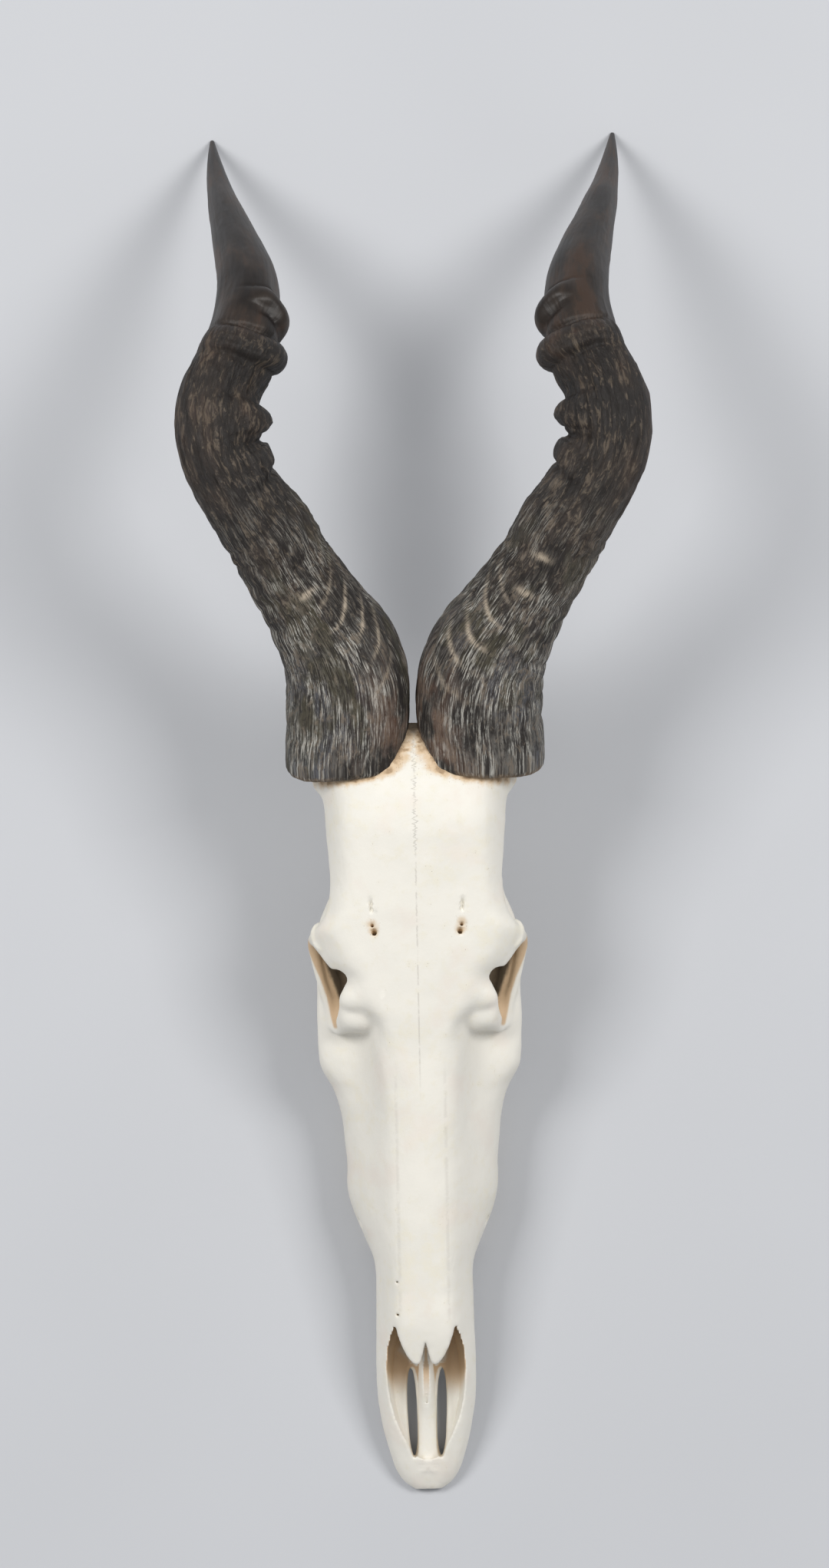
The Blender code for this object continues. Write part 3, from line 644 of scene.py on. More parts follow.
def face_section(row):
    """Half section of the muzzle and cheeks, from the roof's midline to the palate's."""
    roof, palate = row[1], row[10]
    pairs = row[2:10].reshape(4, 2)
    return [(0, roof)] + [tuple(p) for p in pairs] + [(pairs[3][0] * 0.45, palate), (0, palate)]


def forehead_section(row):
    """Half section of the forehead, from its roof round to its underside."""
    _, half, roof, edge, under = row
    return [
        (0, roof),
        (half * 0.45, roof - 0.7),
        (half * 0.80, roof - (roof - edge) * 0.22),
        (half, edge),
        (half * 0.82, under + (edge - under) * 0.25),
        (half * 0.40, under),
        (0, under),
    ]


def cavity_section(row):
    """Half section of the nasal cavity, from its roof round to its floor."""
    _, top_half, floor_half, floor, roof = row
    return [
        (0, roof),
        (top_half * 0.8, roof - (roof - floor) * 0.06),
        (top_half, roof - (roof - floor) * 0.35),
        (floor_half, floor + (roof - floor) * 0.04),
        (floor_half * 0.6, floor),
        (0, floor),
    ]


def strut_rings(rows, side=1, count=60, sides=24):
    """Rings of a tapering bar of oval section along a smooth path."""
    smooth, _ = smooth_path(rows, count)
    points = smooth[:, :3] * (side, 1, 1)
    _, across, upright = frames(points)
    turns = full_turn(sides)
    wide = np.cos(turns)[None, :, None] * (smooth[:, 3, None] * across)[:, None, :]
    deep = np.sin(turns)[None, :, None] * (smooth[:, 4, None] * upright)[:, None, :]
    return points[:, None, :] + wide + deep


def orbit_rim_rings(side):
    """Rings of a rounded lip of bone around the eye socket."""
    path = closed_curve([(x * side, station, z) for x, station, z in ORBIT_RIM], 90)
    tangents = unit(np.roll(path, -1, axis=0) - np.roll(path, 1, axis=0))
    outward = path - path.mean(axis=0)
    outward = unit(outward - tangents * (outward * tangents).sum(1)[:, None])
    upright = np.cross(tangents, outward)
    turns = full_turn(16)
    circle = np.cos(turns)[:, None] * outward[:, None, :] + np.sin(turns)[:, None] * upright[:, None, :]
    return path[:, None, :] + ORBIT_RIM_RADIUS * circle


def nose_opening_rings():
    """Rings of the cutter that opens the nose from above, narrower towards its bottom."""
    half = np.array(NOSE_OPENING, float)
    outline = np.vstack([half, half[:0:-1] * (-1, 1)])
    rings = []
    for height in np.linspace(NOSE_OPENING_BOTTOM, NOSE_OPENING_TOP, 8):
        risen = min(1, (height - NOSE_OPENING_BOTTOM) / NOSE_OPENING_RISE)
        share = NOSE_OPENING_TAPER + (1 - NOSE_OPENING_TAPER) * risen
        x = outline[:, 0] * share
        station = NOSE_OPENING_MIDDLE + (outline[:, 1] - NOSE_OPENING_MIDDLE) * (0.5 + 0.5 * share)
        rings.append(np.column_stack([x, station, np.full(len(x), height)]))
    return rings


def add_masses(block):
    """Muzzle, forehead, braincase and the other masses, melted into one another."""
    block.loft(section_rings(FACE, face_section, 1.5), 1)
    block.loft(section_rings(FOREHEAD, forehead_section, 1.5), 4)
    for radii, middle, softness in MASSES:
        block.lump(radii, middle, softness)
    for side in SIDES.values():
        for radii, middle, softness in PAIRED_MASSES:
            block.lump(radii, middle, softness, side=side)
        block.loft(strut_rings(CHEEK_ARCH, side), 8)
    block.melt(MELT_FROM, MELT_TO, MELT_REACH)


def carve_hollows(block):
    """Nasal cavity, eye sockets, braincase and throat."""
    block.loft(section_rings(NASAL_CAVITY, cavity_section, 2), 1, cut=True)
    block.loft(nose_opening_rings(), 1.6, cut=True)
    block.lump(*BRAIN_CAVITY, 2, cut=True)
    block.loft(strut_rings(MARROW_HOLE), 2, cut=True)
    block.loft(strut_rings(THROAT_PASSAGE), 3, cut=True)
    for side in SIDES.values():
        for hollow, softness in SIDE_HOLLOWS:
            block.lump(*hollow, softness, cut=True, side=side)
        block.loft(sheath_seat_rings(side), 1.5, cut=True)


def sheath_seat_rings(side):
    """Rings of the space that a horn sheath takes up behind its open end."""
    smooth, _ = smooth_path(HORN[:6], 20)
    _, across, upright = frames(smooth[:, :3])
    x, y = squarish(full_turn(64), BASE_SQUARENESS)
    rings = []
    for point, wide, deep, sideways, up in zip(smooth[:, :3], smooth[:, 3], smooth[:, 4], across, upright):
        rings.append(point + np.outer(y * (deep - 1), up) - np.outer(x * (wide - 1), sideways))
    return np.array(rings) * (side, 1, 1)


def squarish(turns, power):
    """A round of radius 1 whose corners fill out as the power rises above 2."""
    c, s = np.cos(turns), np.sin(turns)
    size = (np.abs(c) ** power + np.abs(s) ** power) ** (-1 / power)
    return c * size, s * size


def add_struts(block):
    """Brow bars, spurs, eye socket lips, horn stubs and the bar on the floor of the nose."""
    block.loft(strut_rings(NOSE_BAR), 3)
    for side in SIDES.values():
        for rows, softness in STRUTS:
            block.loft(strut_rings(rows, side), softness)
        block.loft(orbit_rim_rings(side), 3, looped=True)
        block.lump(*ORBIT_CORNER, 7, side=side)
        block.loft(core_rings(side), 6)


def core_rings(side):
    """Rings of the stub of bone that carries a horn."""
    normal = unit(np.array(RIM_NORMAL) * (side, 1, 1))
    across = unit(np.cross(normal, (0, 0, 1)))
    upright = np.cross(across, normal)
    turns = full_turn(48)
    rings = []
    for reach, share in ((-CORE_DEPTH, 1.0), (0, 1.0), (CORE_HEIGHT * 0.6, 0.92), (CORE_HEIGHT, 0.75)):
        circle = np.outer(np.cos(turns) * CORE_RADII[0], across)
        circle += np.outer(np.sin(turns) * CORE_RADII[1], upright)
        rings.append(np.array(RIM_POINT) * (side, 1, 1) + normal * reach + circle * share)
    return rings


def pierce(block):
    """Slots of the palate, nerve holes and small pits."""
    offset, station, half_width, half_length = PALATE_SLOT
    turns = full_turn(48)
    block.rod(FRONT_NOTCH, 1, cut=True)
    block.rod(NOSE_BAR_GROOVE, 1, cut=True)
    for side in SIDES.values():
        block.lump(*SOCKET_NOTCH, 1, cut=True, side=side)
        x, y = np.cos(turns) * half_width, np.sin(turns) * half_length
        turn = side * PALATE_SLOT_TURN
        x, y = x * cos(turn) - y * sin(turn) + side * offset, x * sin(turn) + y * cos(turn) + station
        block.loft([np.column_stack([x, y, np.full(len(x), z)]) for z in (-6, 28)], 2, cut=True)
        for rows in (*BROW_HOLES, BROW_GROOVE):
            heights = [block.roof(side * row[0], row[1]) + row[2] for row in rows]
            block.rod([(x, s, h, r) for (x, s, _, r), h in zip(rows, heights)], 0.8, cut=True, side=side)
        block.rod(CHEEK_HOLE, 2, cut=True, side=side)
        block.rod(PALATE_HOLE, 1, cut=True, side=side)
    for x, station in NASAL_PITS:
        top = block.roof(x, station)
        block.rod([(x, station, top + 1, 0.9), (x, station + 1, top - 3, 0.8)], 0.5, cut=True)


def bone_block(step):
    """All the bone of the skull, on a grid with a step in mm."""
    block = BoneBlock(BLOCK_LOW, BLOCK_HIGH, step)
    add_masses(block)
    carve_hollows(block)
    add_struts(block)
    pierce(block)
    return block


def inner_colour_places(points, normals):
    """1 on the brown bone inside the nose and the eye sockets, and 1 where a painted shadow darkens the depth
    of the eye sockets.
    """
    x, station, z = np.abs(points[:, 0]), points[:, 1], points[:, 2]
    outward = normals[:, 0] * np.sign(points[:, 0])
    nose = fade(x, 27, 25) * fade(station, 44, 80) * fade(station, 120, 112)
    nose = nose * fade(normals[:, 2], -0.5, 0) * fade(z, 9, 12) * fade(outward, 0.35, 0.1)
    nose = nose * fade(x - 0.13 * (station - 60), 25, 22) * fade(z - 0.5 * station, 7, 3)
    lip = np.interp(station, *np.array(SOCKET_LIP).T)
    front = np.interp(station, (284, 296, 306), (46, 46, 35))
    socket = fade(x - lip, 0.5, -2.0) * fade(x, front, front + 3) * fade(z, 93, 86)
    socket = socket * fade(station, 281, 284) * fade(station, 341, 337) * fade(z, 50, 58)
    # Painted shadow: near black bone deep in the eye sockets, below the lip.
    socket_shadow = socket * fade(z, 84, 76) * fade(station, 300, 302) * fade(x - lip, -7, -9)
    socket_shadow = socket_shadow * fade(station, 332, 320)
    return np.clip(nose + socket, 0, 1), socket_shadow


def stained_places(points, rim):
    """1 where the bone meets a horn sheath's rim, fading away from it, and less round the brow holes.

    Heights count little, because the sheath overhangs the bone that it stains.
    """
    mirrored = np.column_stack([np.abs(points[:, 0]), points[:, 1], points[:, 2]])
    stain = np.zeros(len(points))
    close = np.nonzero(mirrored[:, 1] > STAIN_FROM)[0]
    for part in np.array_split(close, max(1, len(close) // 4000)):
        gaps = np.linalg.norm((mirrored[part][:, None] - rim[None]) * (1, 1, 0.12), axis=2).min(axis=1)
        stain[part] = np.exp(-np.maximum(gaps - STAIN_CORE, 0) / STAIN_FADE)
    for (x, station, _, _), _ in BROW_HOLES:
        away = np.hypot(mirrored[:, 0] - x, mirrored[:, 1] - station) / HOLE_STAIN
        stain = np.maximum(stain, 0.85 * np.exp(-(away**2)) * (mirrored[:, 2] > 110))
    return np.maximum(stain, 0.7 * fade(points[:, 1], 456, 470))


def simplified(obj, triangles):
    """Reduces a piece's mesh to about that many triangles."""
    modifier = obj.modifiers.new("Simplify", "DECIMATE")
    count = sum(len(face.vertices) - 2 for face in obj.data.polygons)
    modifier.ratio = min(1.0, triangles / count)
    graph = bpy.context.evaluated_depsgraph_get()
    graph.update()
    mesh = bpy.data.meshes.new_from_object(obj.evaluated_get(graph))
    obj.modifiers.clear()
    obj.data = mesh
    mesh.shade_smooth()
    return mesh


# ---------------------------------------------------------------------------------------------- horns


def turned(turns, facing, spread):
    """How much of a feature that faces one way is left at each turn; facing and spread in degrees."""
    off = (turns - radians(facing) + pi) % (2 * pi) - pi
    return np.exp(-((off / radians(spread)) ** 2))


def grain_places(lengths, turns):
    """Points on an even tube, so that noise read at them runs along the horn."""
    return np.stack([GRAIN_RADIUS * np.cos(turns), GRAIN_RADIUS * np.sin(turns), lengths], -1)


def growth_line_place(length, turns, spot):
    """Distance of each point from a growth line, which climbs the horn's inner side."""
    climb = GROWTH_LINE_CLIMB * np.where(np.cos(turns) > 0, 1 - np.abs(np.sin(turns)), 0) ** 1.2
    return length - spot - climb


def horn_detail(lengths, turns, shape, seed):
    """How far the sheath stands proud, in mm, at lengths along it and turns round it."""
    s, t = np.meshgrid(lengths, turns, indexing="ij")
    grain = grain_places(s, t)
    proud = np.zeros_like(s)
    waver = 2.2 * lumpiness(grain, 22, seed)
    for spot, high, half, faces, spread, sag in KNUCKLES:
        place_in = (s + waver + sag * np.sin(t) - spot) / half
        proud += high * turned(t, faces, spread) * np.clip(1 - place_in**2, 0, 1) ** 0.55
    for spot, deep, half, faces, spread, sag in CREASES:
        place_in = (s + waver + sag * np.sin(t) - spot) / half
        proud -= deep * turned(t, faces, spread) * np.exp(-(place_in**2))
    low = fade(s, 4, 16) * fade(s, 190, 140)
    phase = growth_line_place(s + waver * 2, t, 0) / shape.ring_spacing * MM
    rings = np.abs(np.cos(pi * phase)) ** 0.9 - 0.6
    proud += shape.ring_height / MM * low * rings * (0.6 + 0.4 * lumpiness(grain, 30, seed + 7))
    fibres = lumpiness(grain * (1, 1, 0.06), 2.3, seed + 1)
    fibres += 0.6 * lumpiness(grain * (1, 1, 0.1), 1.4, seed + 2)
    proud += shape.furrow_depth / MM * fibres * (1 - 0.9 * fade(s, 250, 300))
    bark = np.abs(lumpiness(grain * (1, 1, 0.45), 7, seed + 3))
    bark += 0.5 * np.abs(lumpiness(grain * (1, 1, 0.5), 3.4, seed + 8))
    proud += shape.bark_height / MM * (0.6 - bark) * fade(s, 60, 150) * (1 - 0.85 * fade(s, 245, 285))
    proud += 1.1 * lumpiness(grain * (1, 1, 0.6), 17, seed + 4) * (1 - 0.7 * fade(s, 300, 360))
    return proud


def rim_slant(point, tangent, reach):
    """How far each line of the sheath starts ahead of a square cut; reach is its offset from the path."""
    normal = unit(np.array(RIM_NORMAL))
    return -((point + reach - np.array(RIM_POINT)) @ normal) / (tangent @ normal)


def rim_layers():
    """(mm ahead of the rim plane, mm inside the outer surface) from inside the open end round its edge."""
    inner = [(near, SHEATH_WALL) for near in np.linspace(SHEATH_RECESS, 1.5, 6)]
    under = [(0.4, SHEATH_WALL - 1.2)]
    under += [(0.0, inset) for inset in np.linspace(SHEATH_WALL - 2.5, RIM_ROUND, 6)]
    bends = np.linspace(0, pi / 2, 9)[1:]
    edge = [(RIM_ROUND * (1 - cos(bend)), RIM_ROUND * (1 - sin(bend))) for bend in bends]
    return inner + under + edge


def horn_rings(shape, seed):
    """Rings of the right horn sheath, and for each point its place in the grain of the horn."""
    smooth, spots = smooth_path(HORN, shape.rings)
    points, radii = smooth[:, :3], smooth[:, 3:]
    tangents, across, upright = frames(points)
    turns = full_turn(shape.sides)
    detail = horn_detail(spots, turns, shape, seed)
    taper = np.clip(radii[:, :1] / 12, 0, 1)
    wide = radii[:, :1] + detail * taper
    deep = radii[:, 1:] + detail * taper

    def offsets(k, inset):
        """From the path to the sheath's skin at ring k."""
        x, y = squarish(turns, 2 + (BASE_SQUARENESS - 2) * (1 - fade(spots[k], 10, SQUARE_REACH)))
        outward = np.outer(y, upright[k]) * (deep[k] - inset)[:, None]
        return outward - np.outer(x, across[k]) * (wide[k] - inset)[:, None]

    x, y = squarish(turns, BASE_SQUARENESS)
    base = np.outer(y, upright[0]) * radii[0][1] - np.outer(x, across[0]) * radii[0][0]
    base_slant = rim_slant(points[0], tangents[0], base)
    rings, reaches = [], []
    for near, inset in rim_layers():
        outward = offsets(0, inset)
        slant = rim_slant(points[0], tangents[0], outward)
        rings.append(points[0] + outward + np.outer(near + slant, tangents[0]))
        reaches.append(near)
    for k in np.nonzero(spots > RIM_ROUND + 0.5)[0]:
        weight = RIM_SLANT_KEPT * max(0.0, 1 - spots[k] / RIM_SLANT_REACH) ** 1.6
        rings.append(points[k] + offsets(k, 0) + np.outer(base_slant * weight, tangents[k]))
        reaches.append(spots[k])
    rings = np.array(rings)
    rings[..., 2] = np.maximum(rings[..., 2], 0.0)
    reach, turn = np.meshgrid(reaches, turns, indexing="ij")
    return rings, grain_places(reach, turn)


def rim_points(shape):
    """Points all over the right sheath near its open end."""
    first = len(rim_layers()) - 4
    rings, _ = horn_rings(shape, HORN_SEEDS["right"])
    return rings[first : first + 40 : 4, ::4].reshape(-1, 3)


# ---------------------------------------------------------------------------------------------- teeth


def tooth_outline(length, width, lobes, count):
    """Outline of a cheek tooth: a rounded block whose inner and outer walls bulge at each lobe."""
    turns = full_turn(count)
    lengthwise, crosswise = squarish(turns, TOOTH_SQUARENESS)
    lobe = np.cos(pi * lengthwise * lobes) * (-1) ** (lobes + 1) - 0.5
    ribs = 0.018 * np.cos(pi * lengthwise * lobes * 4)
    crosswise = crosswise * (1 + (TOOTH_LOBE * lobe + ribs) * np.abs(np.sin(turns)))
    return np.column_stack([crosswise * width / 2, lengthwise * length / 2])


def worn_face(outline, share, length, width, lobes):
    """Height of the worn face above its ridges, and how much of it is pit, at a share of the outline."""
    x, y = outline[:, 0] * share / (width / 2), outline[:, 1] * share / (length / 2)
    dentine = 0.7 * fade(np.full(len(x), 1 - share), 0.08, 0.2)
    pit = np.zeros(len(x))
    for k in range(lobes):
        middle = 0 if lobes == 1 else (k - 0.5)
        half = 0.42 if lobes == 1 else 0.26
        bend = 0.18 * np.cos(pi * (y - middle))
        ring = np.sqrt(((y - middle) / half) ** 2 + ((x + 0.12 - bend) / 0.34) ** 2)
        dentine *= 1 - np.exp(-(((ring - 1) / 0.22) ** 2))
        pit = np.maximum(pit, 1 - fade(ring, 0.45, 0.8))
    return dentine + 1.8 * pit, pit


def tooth_rings(shape, top, side, offset, station):
    """Rings of a tooth from the middle of its worn face up into its socket, with enamel and pit values."""
    length, width, lobes = shape
    outline = tooth_outline(length, width, lobes, 96)
    rings, enamel, pits = [], [], []
    for share in np.concatenate([np.linspace(0.03, 0.85, 18), np.linspace(0.88, 0.965, 4)]):
        height, pit = worn_face(outline, share, length, width, lobes)
        rings.append(np.column_stack([outline * (share * TOOTH_WORN_SHARE), height]))
        enamel.append(fade(height, 0.5, 0.15))
        pits.append(pit)
    for z in np.concatenate([[0.25, 0.7, 1.3], np.linspace(2.2, top, 26)]):
        grow = TOOTH_WORN_SHARE + (1 - TOOTH_WORN_SHARE) * (1 - np.exp(-z / 0.7)) - 0.03 * z / top
        rings.append(np.column_stack([outline * grow, np.full(len(outline), z)]))
        enamel.append(np.ones(len(outline)))
        pits.append(np.zeros(len(outline)))
    rings = np.array(rings)
    rings[..., 0] = side * (rings[..., 0] + offset)
    rings[..., 1] += station
    return rings, np.array(enamel), np.array(pits)


# ------------------------------------------------------------------------------------------ materials


def both_ways(operation):
    """Methods for a wire on the left and on the right of an operation."""

    def left(wire, other):
        return wire.paint.maths(operation, wire, other)

    def right(wire, other):
        return wire.paint.maths(operation, other, wire)

    return left, right


class Wire:
    """A node's output. Arithmetic on it adds Math nodes, or Vector Math nodes if it is a vector."""

    def __init__(self, paint, socket):
        self.paint = paint
        self.socket = socket

    __add__, __radd__ = both_ways("ADD")
    __sub__, __rsub__ = both_ways("SUBTRACT")
    __mul__, __rmul__ = both_ways("MULTIPLY")

    def __abs__(self):
        return self.paint.maths("ABSOLUTE", self)


class Paint:
    """One material's node tree, made from expressions on its wires."""

    def __init__(self, name):
        self.material = bpy.data.materials.new(name)
        self.material.use_nodes = True
        self.tree = self.material.node_tree
        self.tree.nodes.clear()

    def node(self, kind, settings, sockets, output=0):
        """A node of a type, with its settings made first, then its sockets filled or linked."""
        node = self.tree.nodes.new(kind)
        for name, value in settings.items():
            setattr(node, name, value)
        for name, value in sockets.items():
            if isinstance(value, Wire):
                self.tree.links.new(value.socket, node.inputs[name])
            else:
                node.inputs[name].default_value = value
        return Wire(self, node.outputs[output]) if len(node.outputs) else None

    def maths(self, operation, *values):
        """A sum on numbers and wires, by a Vector Math node if any wire is a vector."""
        vector = any(isinstance(v, Wire) and v.socket.type == "VECTOR" for v in values)
        kind = "ShaderNodeVectorMath" if vector else "ShaderNodeMath"
        if vector:
            values = [(v, v, v) if isinstance(v, (int, float)) else v for v in values]
        return self.node(kind, {"operation": operation}, dict(enumerate(values)))

    def position(self):
        """Where a point of the surface lies in its own piece."""
        return self.node("ShaderNodeTexCoord", {}, {}, "Object")

    def parts(self, vector):
        """The three numbers of a vector."""
        split = self.node("ShaderNodeSeparateXYZ", {}, {0: vector}).socket.node
        return [Wire(self, output) for output in split.outputs]

    def vertex(self, name, output="Fac"):
        """A value kept on the mesh under a name."""
        return self.node("ShaderNodeAttribute", {"attribute_name": name}, {}, output)

    def noise(self, vector, scale, detail=4.0, roughness=0.55, distortion=0.0):
        """Cloudy values from 0 to 1."""
        names = ("Vector", "Scale", "Detail", "Roughness", "Distortion")
        sockets = dict(zip(names, (vector, scale, detail, roughness, distortion)))
        return self.node("ShaderNodeTexNoise", {}, sockets, "Fac")

    def cells(self, vector, scale):
        """Distance from the nearest of many scattered points."""
        return self.node("ShaderNodeTexVoronoi", {}, {"Vector": vector, "Scale": scale}, "Distance")

    def run(self, value, start, end):
        """0 where value is at start, 1 where it is at end, smooth between."""
        sockets = {"Value": value, "From Min": start, "From Max": end}
        return self.node("ShaderNodeMapRange", {"interpolation_type": "SMOOTHSTEP"}, sockets)

    def mix(self, first, second, share, way="MIX"):
        """One colour going over into another by a share."""
        first, second = (c if isinstance(c, Wire) else (*c, 1.0) for c in (first, second))
        sockets = {"Factor": share, 6: first, 7: second}
        return self.node("ShaderNodeMix", {"data_type": "RGBA", "blend_type": way}, sockets, 2)

    def finish(self, colour, roughness, height, depth, constants):
        """The shader itself: colour and roughness over the surface, bumps of a depth, and fixed values."""
        relief = {"Strength": 1.0, "Distance": depth, "Height": height}
        bump = self.node("ShaderNodeBump", {}, relief, "Normal")
        sockets = {"Base Color": colour, "Roughness": roughness, "Normal": bump, **constants}
        shader = self.node("ShaderNodeBsdfPrincipled", {}, sockets)
        self.node("ShaderNodeOutputMaterial", {}, {"Surface": shader})
        return self.material


def bone_paint(looks):
    """Bleached bone: cream, stained where the horns meet it and brown inside its hollows, with painted shade
    where bone crowds round and a painted shadow deep in the eye sockets.
    """
    paint = Paint("bleached_bone")
    spot = paint.position()
    x, y, _ = paint.parts(spot)
    hollow, stain, roof = paint.vertex("hollow"), paint.vertex("stain"), paint.vertex("roof")
    cloud = paint.noise(spot, 22.0, 5.0)
    mottle = paint.noise(spot, 140.0, 6.0, 0.6)
    fine = paint.noise(spot, 900.0, 4.0, 0.6)
    long_grain = paint.noise(spot * (1.0, 0.12, 1.0), 420.0, 5.0, 0.6)

    colour = paint.mix(looks.bone, looks.bone_shade, paint.run(cloud, 0.42, 0.7))
    colour = paint.mix(colour, looks.bone_warm, 0.75 * paint.run(mottle * 0.6 + cloud * 0.4, 0.48, 0.66))
    blush = paint.noise(spot, 36.0, 4.0)
    colour = paint.mix(colour, looks.bone_pink, 0.6 * paint.run(blush, 0.52, 0.7))
    # Painted shade: duller, darker bone wherever the bone crowds round, as in the hollows.
    crowd_shade = paint.run(hollow + 0.2 * (mottle - 0.5), 0.45, 1.0)
    colour = paint.mix(colour, looks.bone_deep_shade, 0.75 * crowd_shade)
    tan = paint.run(paint.vertex("tan") + 0.4 * (cloud - 0.5), 0.1, 0.9)
    colour = paint.mix(colour, looks.hollow, 0.85 * tan)
    # Painted shadow deep in the eye sockets.
    colour = paint.mix(colour, looks.socket_shadow, 0.9 * paint.vertex("socket_shadow"))
    edge = paint.run(stain + 0.7 * (mottle - 0.5) + 0.3 * (fine - 0.5), 0.32, 1.05)
    colour = paint.mix(colour, looks.stain, 0.8 * edge)
    dirt = paint.run(stain * (0.55 + mottle), 0.92, 1.15)
    colour = paint.mix(colour, looks.dirt, 0.6 * dirt)

    # The frontal and nasal bones meet in wavy seams.
    waver = paint.noise(spot * (0.0, 1.0, 0.0), 560.0, 3.0, 0.6) - 0.5
    middle_line = abs(x + waver * (0.0015 * paint.run(y, -0.13, -0.09) + 0.011 * paint.run(y, -0.055, -0.03)))
    middle_seam = paint.run(middle_line, 0.0007, 0.0001) * paint.run(y, -0.20, -0.16)
    side_line = abs(abs(x) - 0.0152 + waver * 0.0012)
    side_seam = paint.run(side_line, 0.0016, 0.0002) * paint.run(y, -0.165, -0.19)
    side_seam = side_seam * paint.run(y, -0.335, -0.32)
    broken = paint.run(paint.noise(spot, 160.0, 3.0), 0.36, 0.56)
    seam = roof * broken * (middle_seam + 0.45 * side_seam)
    colour = paint.mix(colour, looks.seam, 0.3 * seam)

    pores = paint.run(paint.cells(spot, 620.0), 0.16, 0.08) * paint.run(mottle + 0.35 * stain, 0.55, 0.72)
    colour = paint.mix(colour, looks.dirt, 0.35 * pores)
    height = 0.5 * cloud + 0.35 * mottle + 0.16 * fine + 0.22 * long_grain - 0.3 * seam - 0.5 * pores
    roughness = 0.52 + 0.16 * mottle + 0.1 * stain
    constants = {"IOR": 1.45, "Specular IOR Level": 0.38, "Subsurface Weight": 0.0}
    return paint.finish(colour, roughness, height, looks.bone_bump, constants)


def horn_paint(looks, name, seed):
    """Horn: grey frayed fibres at the base, brown-black and duller to glossy towards the tip."""
    paint = Paint(name)
    grain = paint.vertex("grain", "Vector") + (seed, seed * 0.37, 0.0)
    reach, crease_shade, inward = paint.vertex("reach"), paint.vertex("crease_shade"), paint.vertex("inward")
    threads = paint.noise(grain * (1.0, 1.0, 0.07), 1400.0, 3.0, 0.65)
    strands = paint.noise(grain * (1.0, 1.0, 0.1), 400.0, 4.0, 0.65, 0.25)
    patches = paint.noise(grain * (1.0, 1.0, 0.7), 62.0, 4.0, 0.6)
    clouds = paint.noise(grain * (1.0, 1.0, 0.7), 24.0, 3.0, 0.55)
    flakes = paint.noise(grain * (1.0, 1.0, 0.45), 320.0, 5.0, 0.75, 0.6)
    areas = paint.run(paint.noise(grain * (1.0, 1.0, 0.6), 66.0, 4.0, 0.65), 0.45, 0.58)

    base = paint.run(reach, 0.22, 0.03)
    lower = paint.run(reach, 0.36, 0.18)
    rough = paint.run(reach, 0.53, 0.48)
    brown = paint.run(clouds * 0.6 + patches * 0.4, 0.42, 0.62)
    colour = paint.mix(looks.horn_dark, looks.horn_brown, brown)
    grey = paint.mix(looks.horn_grey, looks.horn_blue, paint.run(clouds, 0.46, 0.56))
    colour = paint.mix(colour, grey, 0.85 * base * paint.run(patches + 0.3 * (strands - 0.5), 0.38, 0.58))
    colour = paint.mix(colour, looks.horn_olive, 0.5 * lower * paint.run(clouds - 0.5 * patches, 0.26, 0.36))
    streak = paint.run(strands + 0.5 * (threads - 0.5), 0.5, 0.64)
    colour = paint.mix(colour, looks.fibre_tan, 0.6 * streak * lower * (0.35 + 0.65 * areas))
    frayed = paint.run(threads + 0.4 * (strands - 0.5), 0.5, 0.6) * (0.12 + 0.88 * areas)
    colour = paint.mix(colour, looks.fibre_pale, 0.85 * frayed * paint.run(reach, 0.4, 0.14))
    gaps = paint.run(threads - 0.5 * (strands - 0.5), 0.5, 0.38) * lower
    colour = paint.mix(colour, looks.horn_dark, 0.8 * gaps)
    mottle = paint.run(flakes + 0.35 * (patches - 0.5), 0.52, 0.64) * rough
    colour = paint.mix(colour, looks.fibre_tan, 0.7 * mottle)
    pits = paint.run(flakes, 0.47, 0.36) * rough
    colour = paint.mix(colour, looks.horn_dark, 0.7 * pits)
    rust = paint.run(clouds * patches, 0.28, 0.36) * paint.run(reach, 0.3, 0.5) * 0.14
    rust = rust + 0.55 * inward * paint.run(reach, 0.13, 0.04) * paint.run(patches, 0.42, 0.6)
    colour = paint.mix(colour, looks.rust, rust)
    line = paint.vertex("line") * paint.run(threads + 0.6 * (flakes - 0.5), 0.34, 0.52)
    colour = paint.mix(colour, looks.growth_line, 0.85 * line)
    colour = paint.mix(colour, looks.rim_tan, 0.6 * paint.vertex("rim") * paint.run(patches, 0.4, 0.6))
    # Painted shade: the horn darkened in its creases.
    colour = paint.mix(colour, (0.35, 0.32, 0.3), 0.6 * crease_shade, "MULTIPLY")
    colour = paint.mix(colour, (0.72, 0.68, 0.64), paint.run(reach, 0.2, 0.42), "MULTIPLY")

    height = strands * (0.12 + 0.88 * lower) + 0.6 * threads * lower + (1.5 * rough + 0.1) * flakes
    roughness = 0.36 + 0.2 * lower + 0.1 * rough + 0.2 * patches
    constants = {"IOR": 1.54, "Specular IOR Level": 0.38}
    return paint.finish(colour, roughness, height, looks.horn_bump, constants)


def tooth_paint(looks):
    """Worn teeth: ivory enamel with brown in its folds, and darker dentine between the ridges."""
    paint = Paint("worn_tooth")
    spot = paint.position()
    _, _, z = paint.parts(spot)
    enamel, pit = paint.vertex("enamel"), paint.vertex("pit")
    stains = paint.noise(spot * (1.0, 1.0, 0.3), 260.0, 5.0, 0.6)
    fine = paint.noise(spot * (1.0, 1.0, 0.15), 1200.0, 3.0)
    colour = paint.mix(looks.dentine, looks.enamel, enamel)
    gum = paint.run(z + 0.006 * (stains - 0.5), 0.004, 0.013)
    colour = paint.mix(colour, looks.tooth_stain, 0.75 * gum * paint.run(stains, 0.3, 0.62))
    colour = paint.mix(colour, looks.tooth_stain, 0.4 * paint.run(stains, 0.55, 0.7))
    colour = paint.mix(colour, looks.pit, pit)
    roughness = 0.3 + 0.25 * stains + 0.2 * pit
    constants = {"IOR": 1.6, "Specular IOR Level": 0.5, "Coat Roughness": 0.2}
    return paint.finish(colour, roughness, 0.6 * stains + 0.4 * fine, looks.tooth_bump, constants)


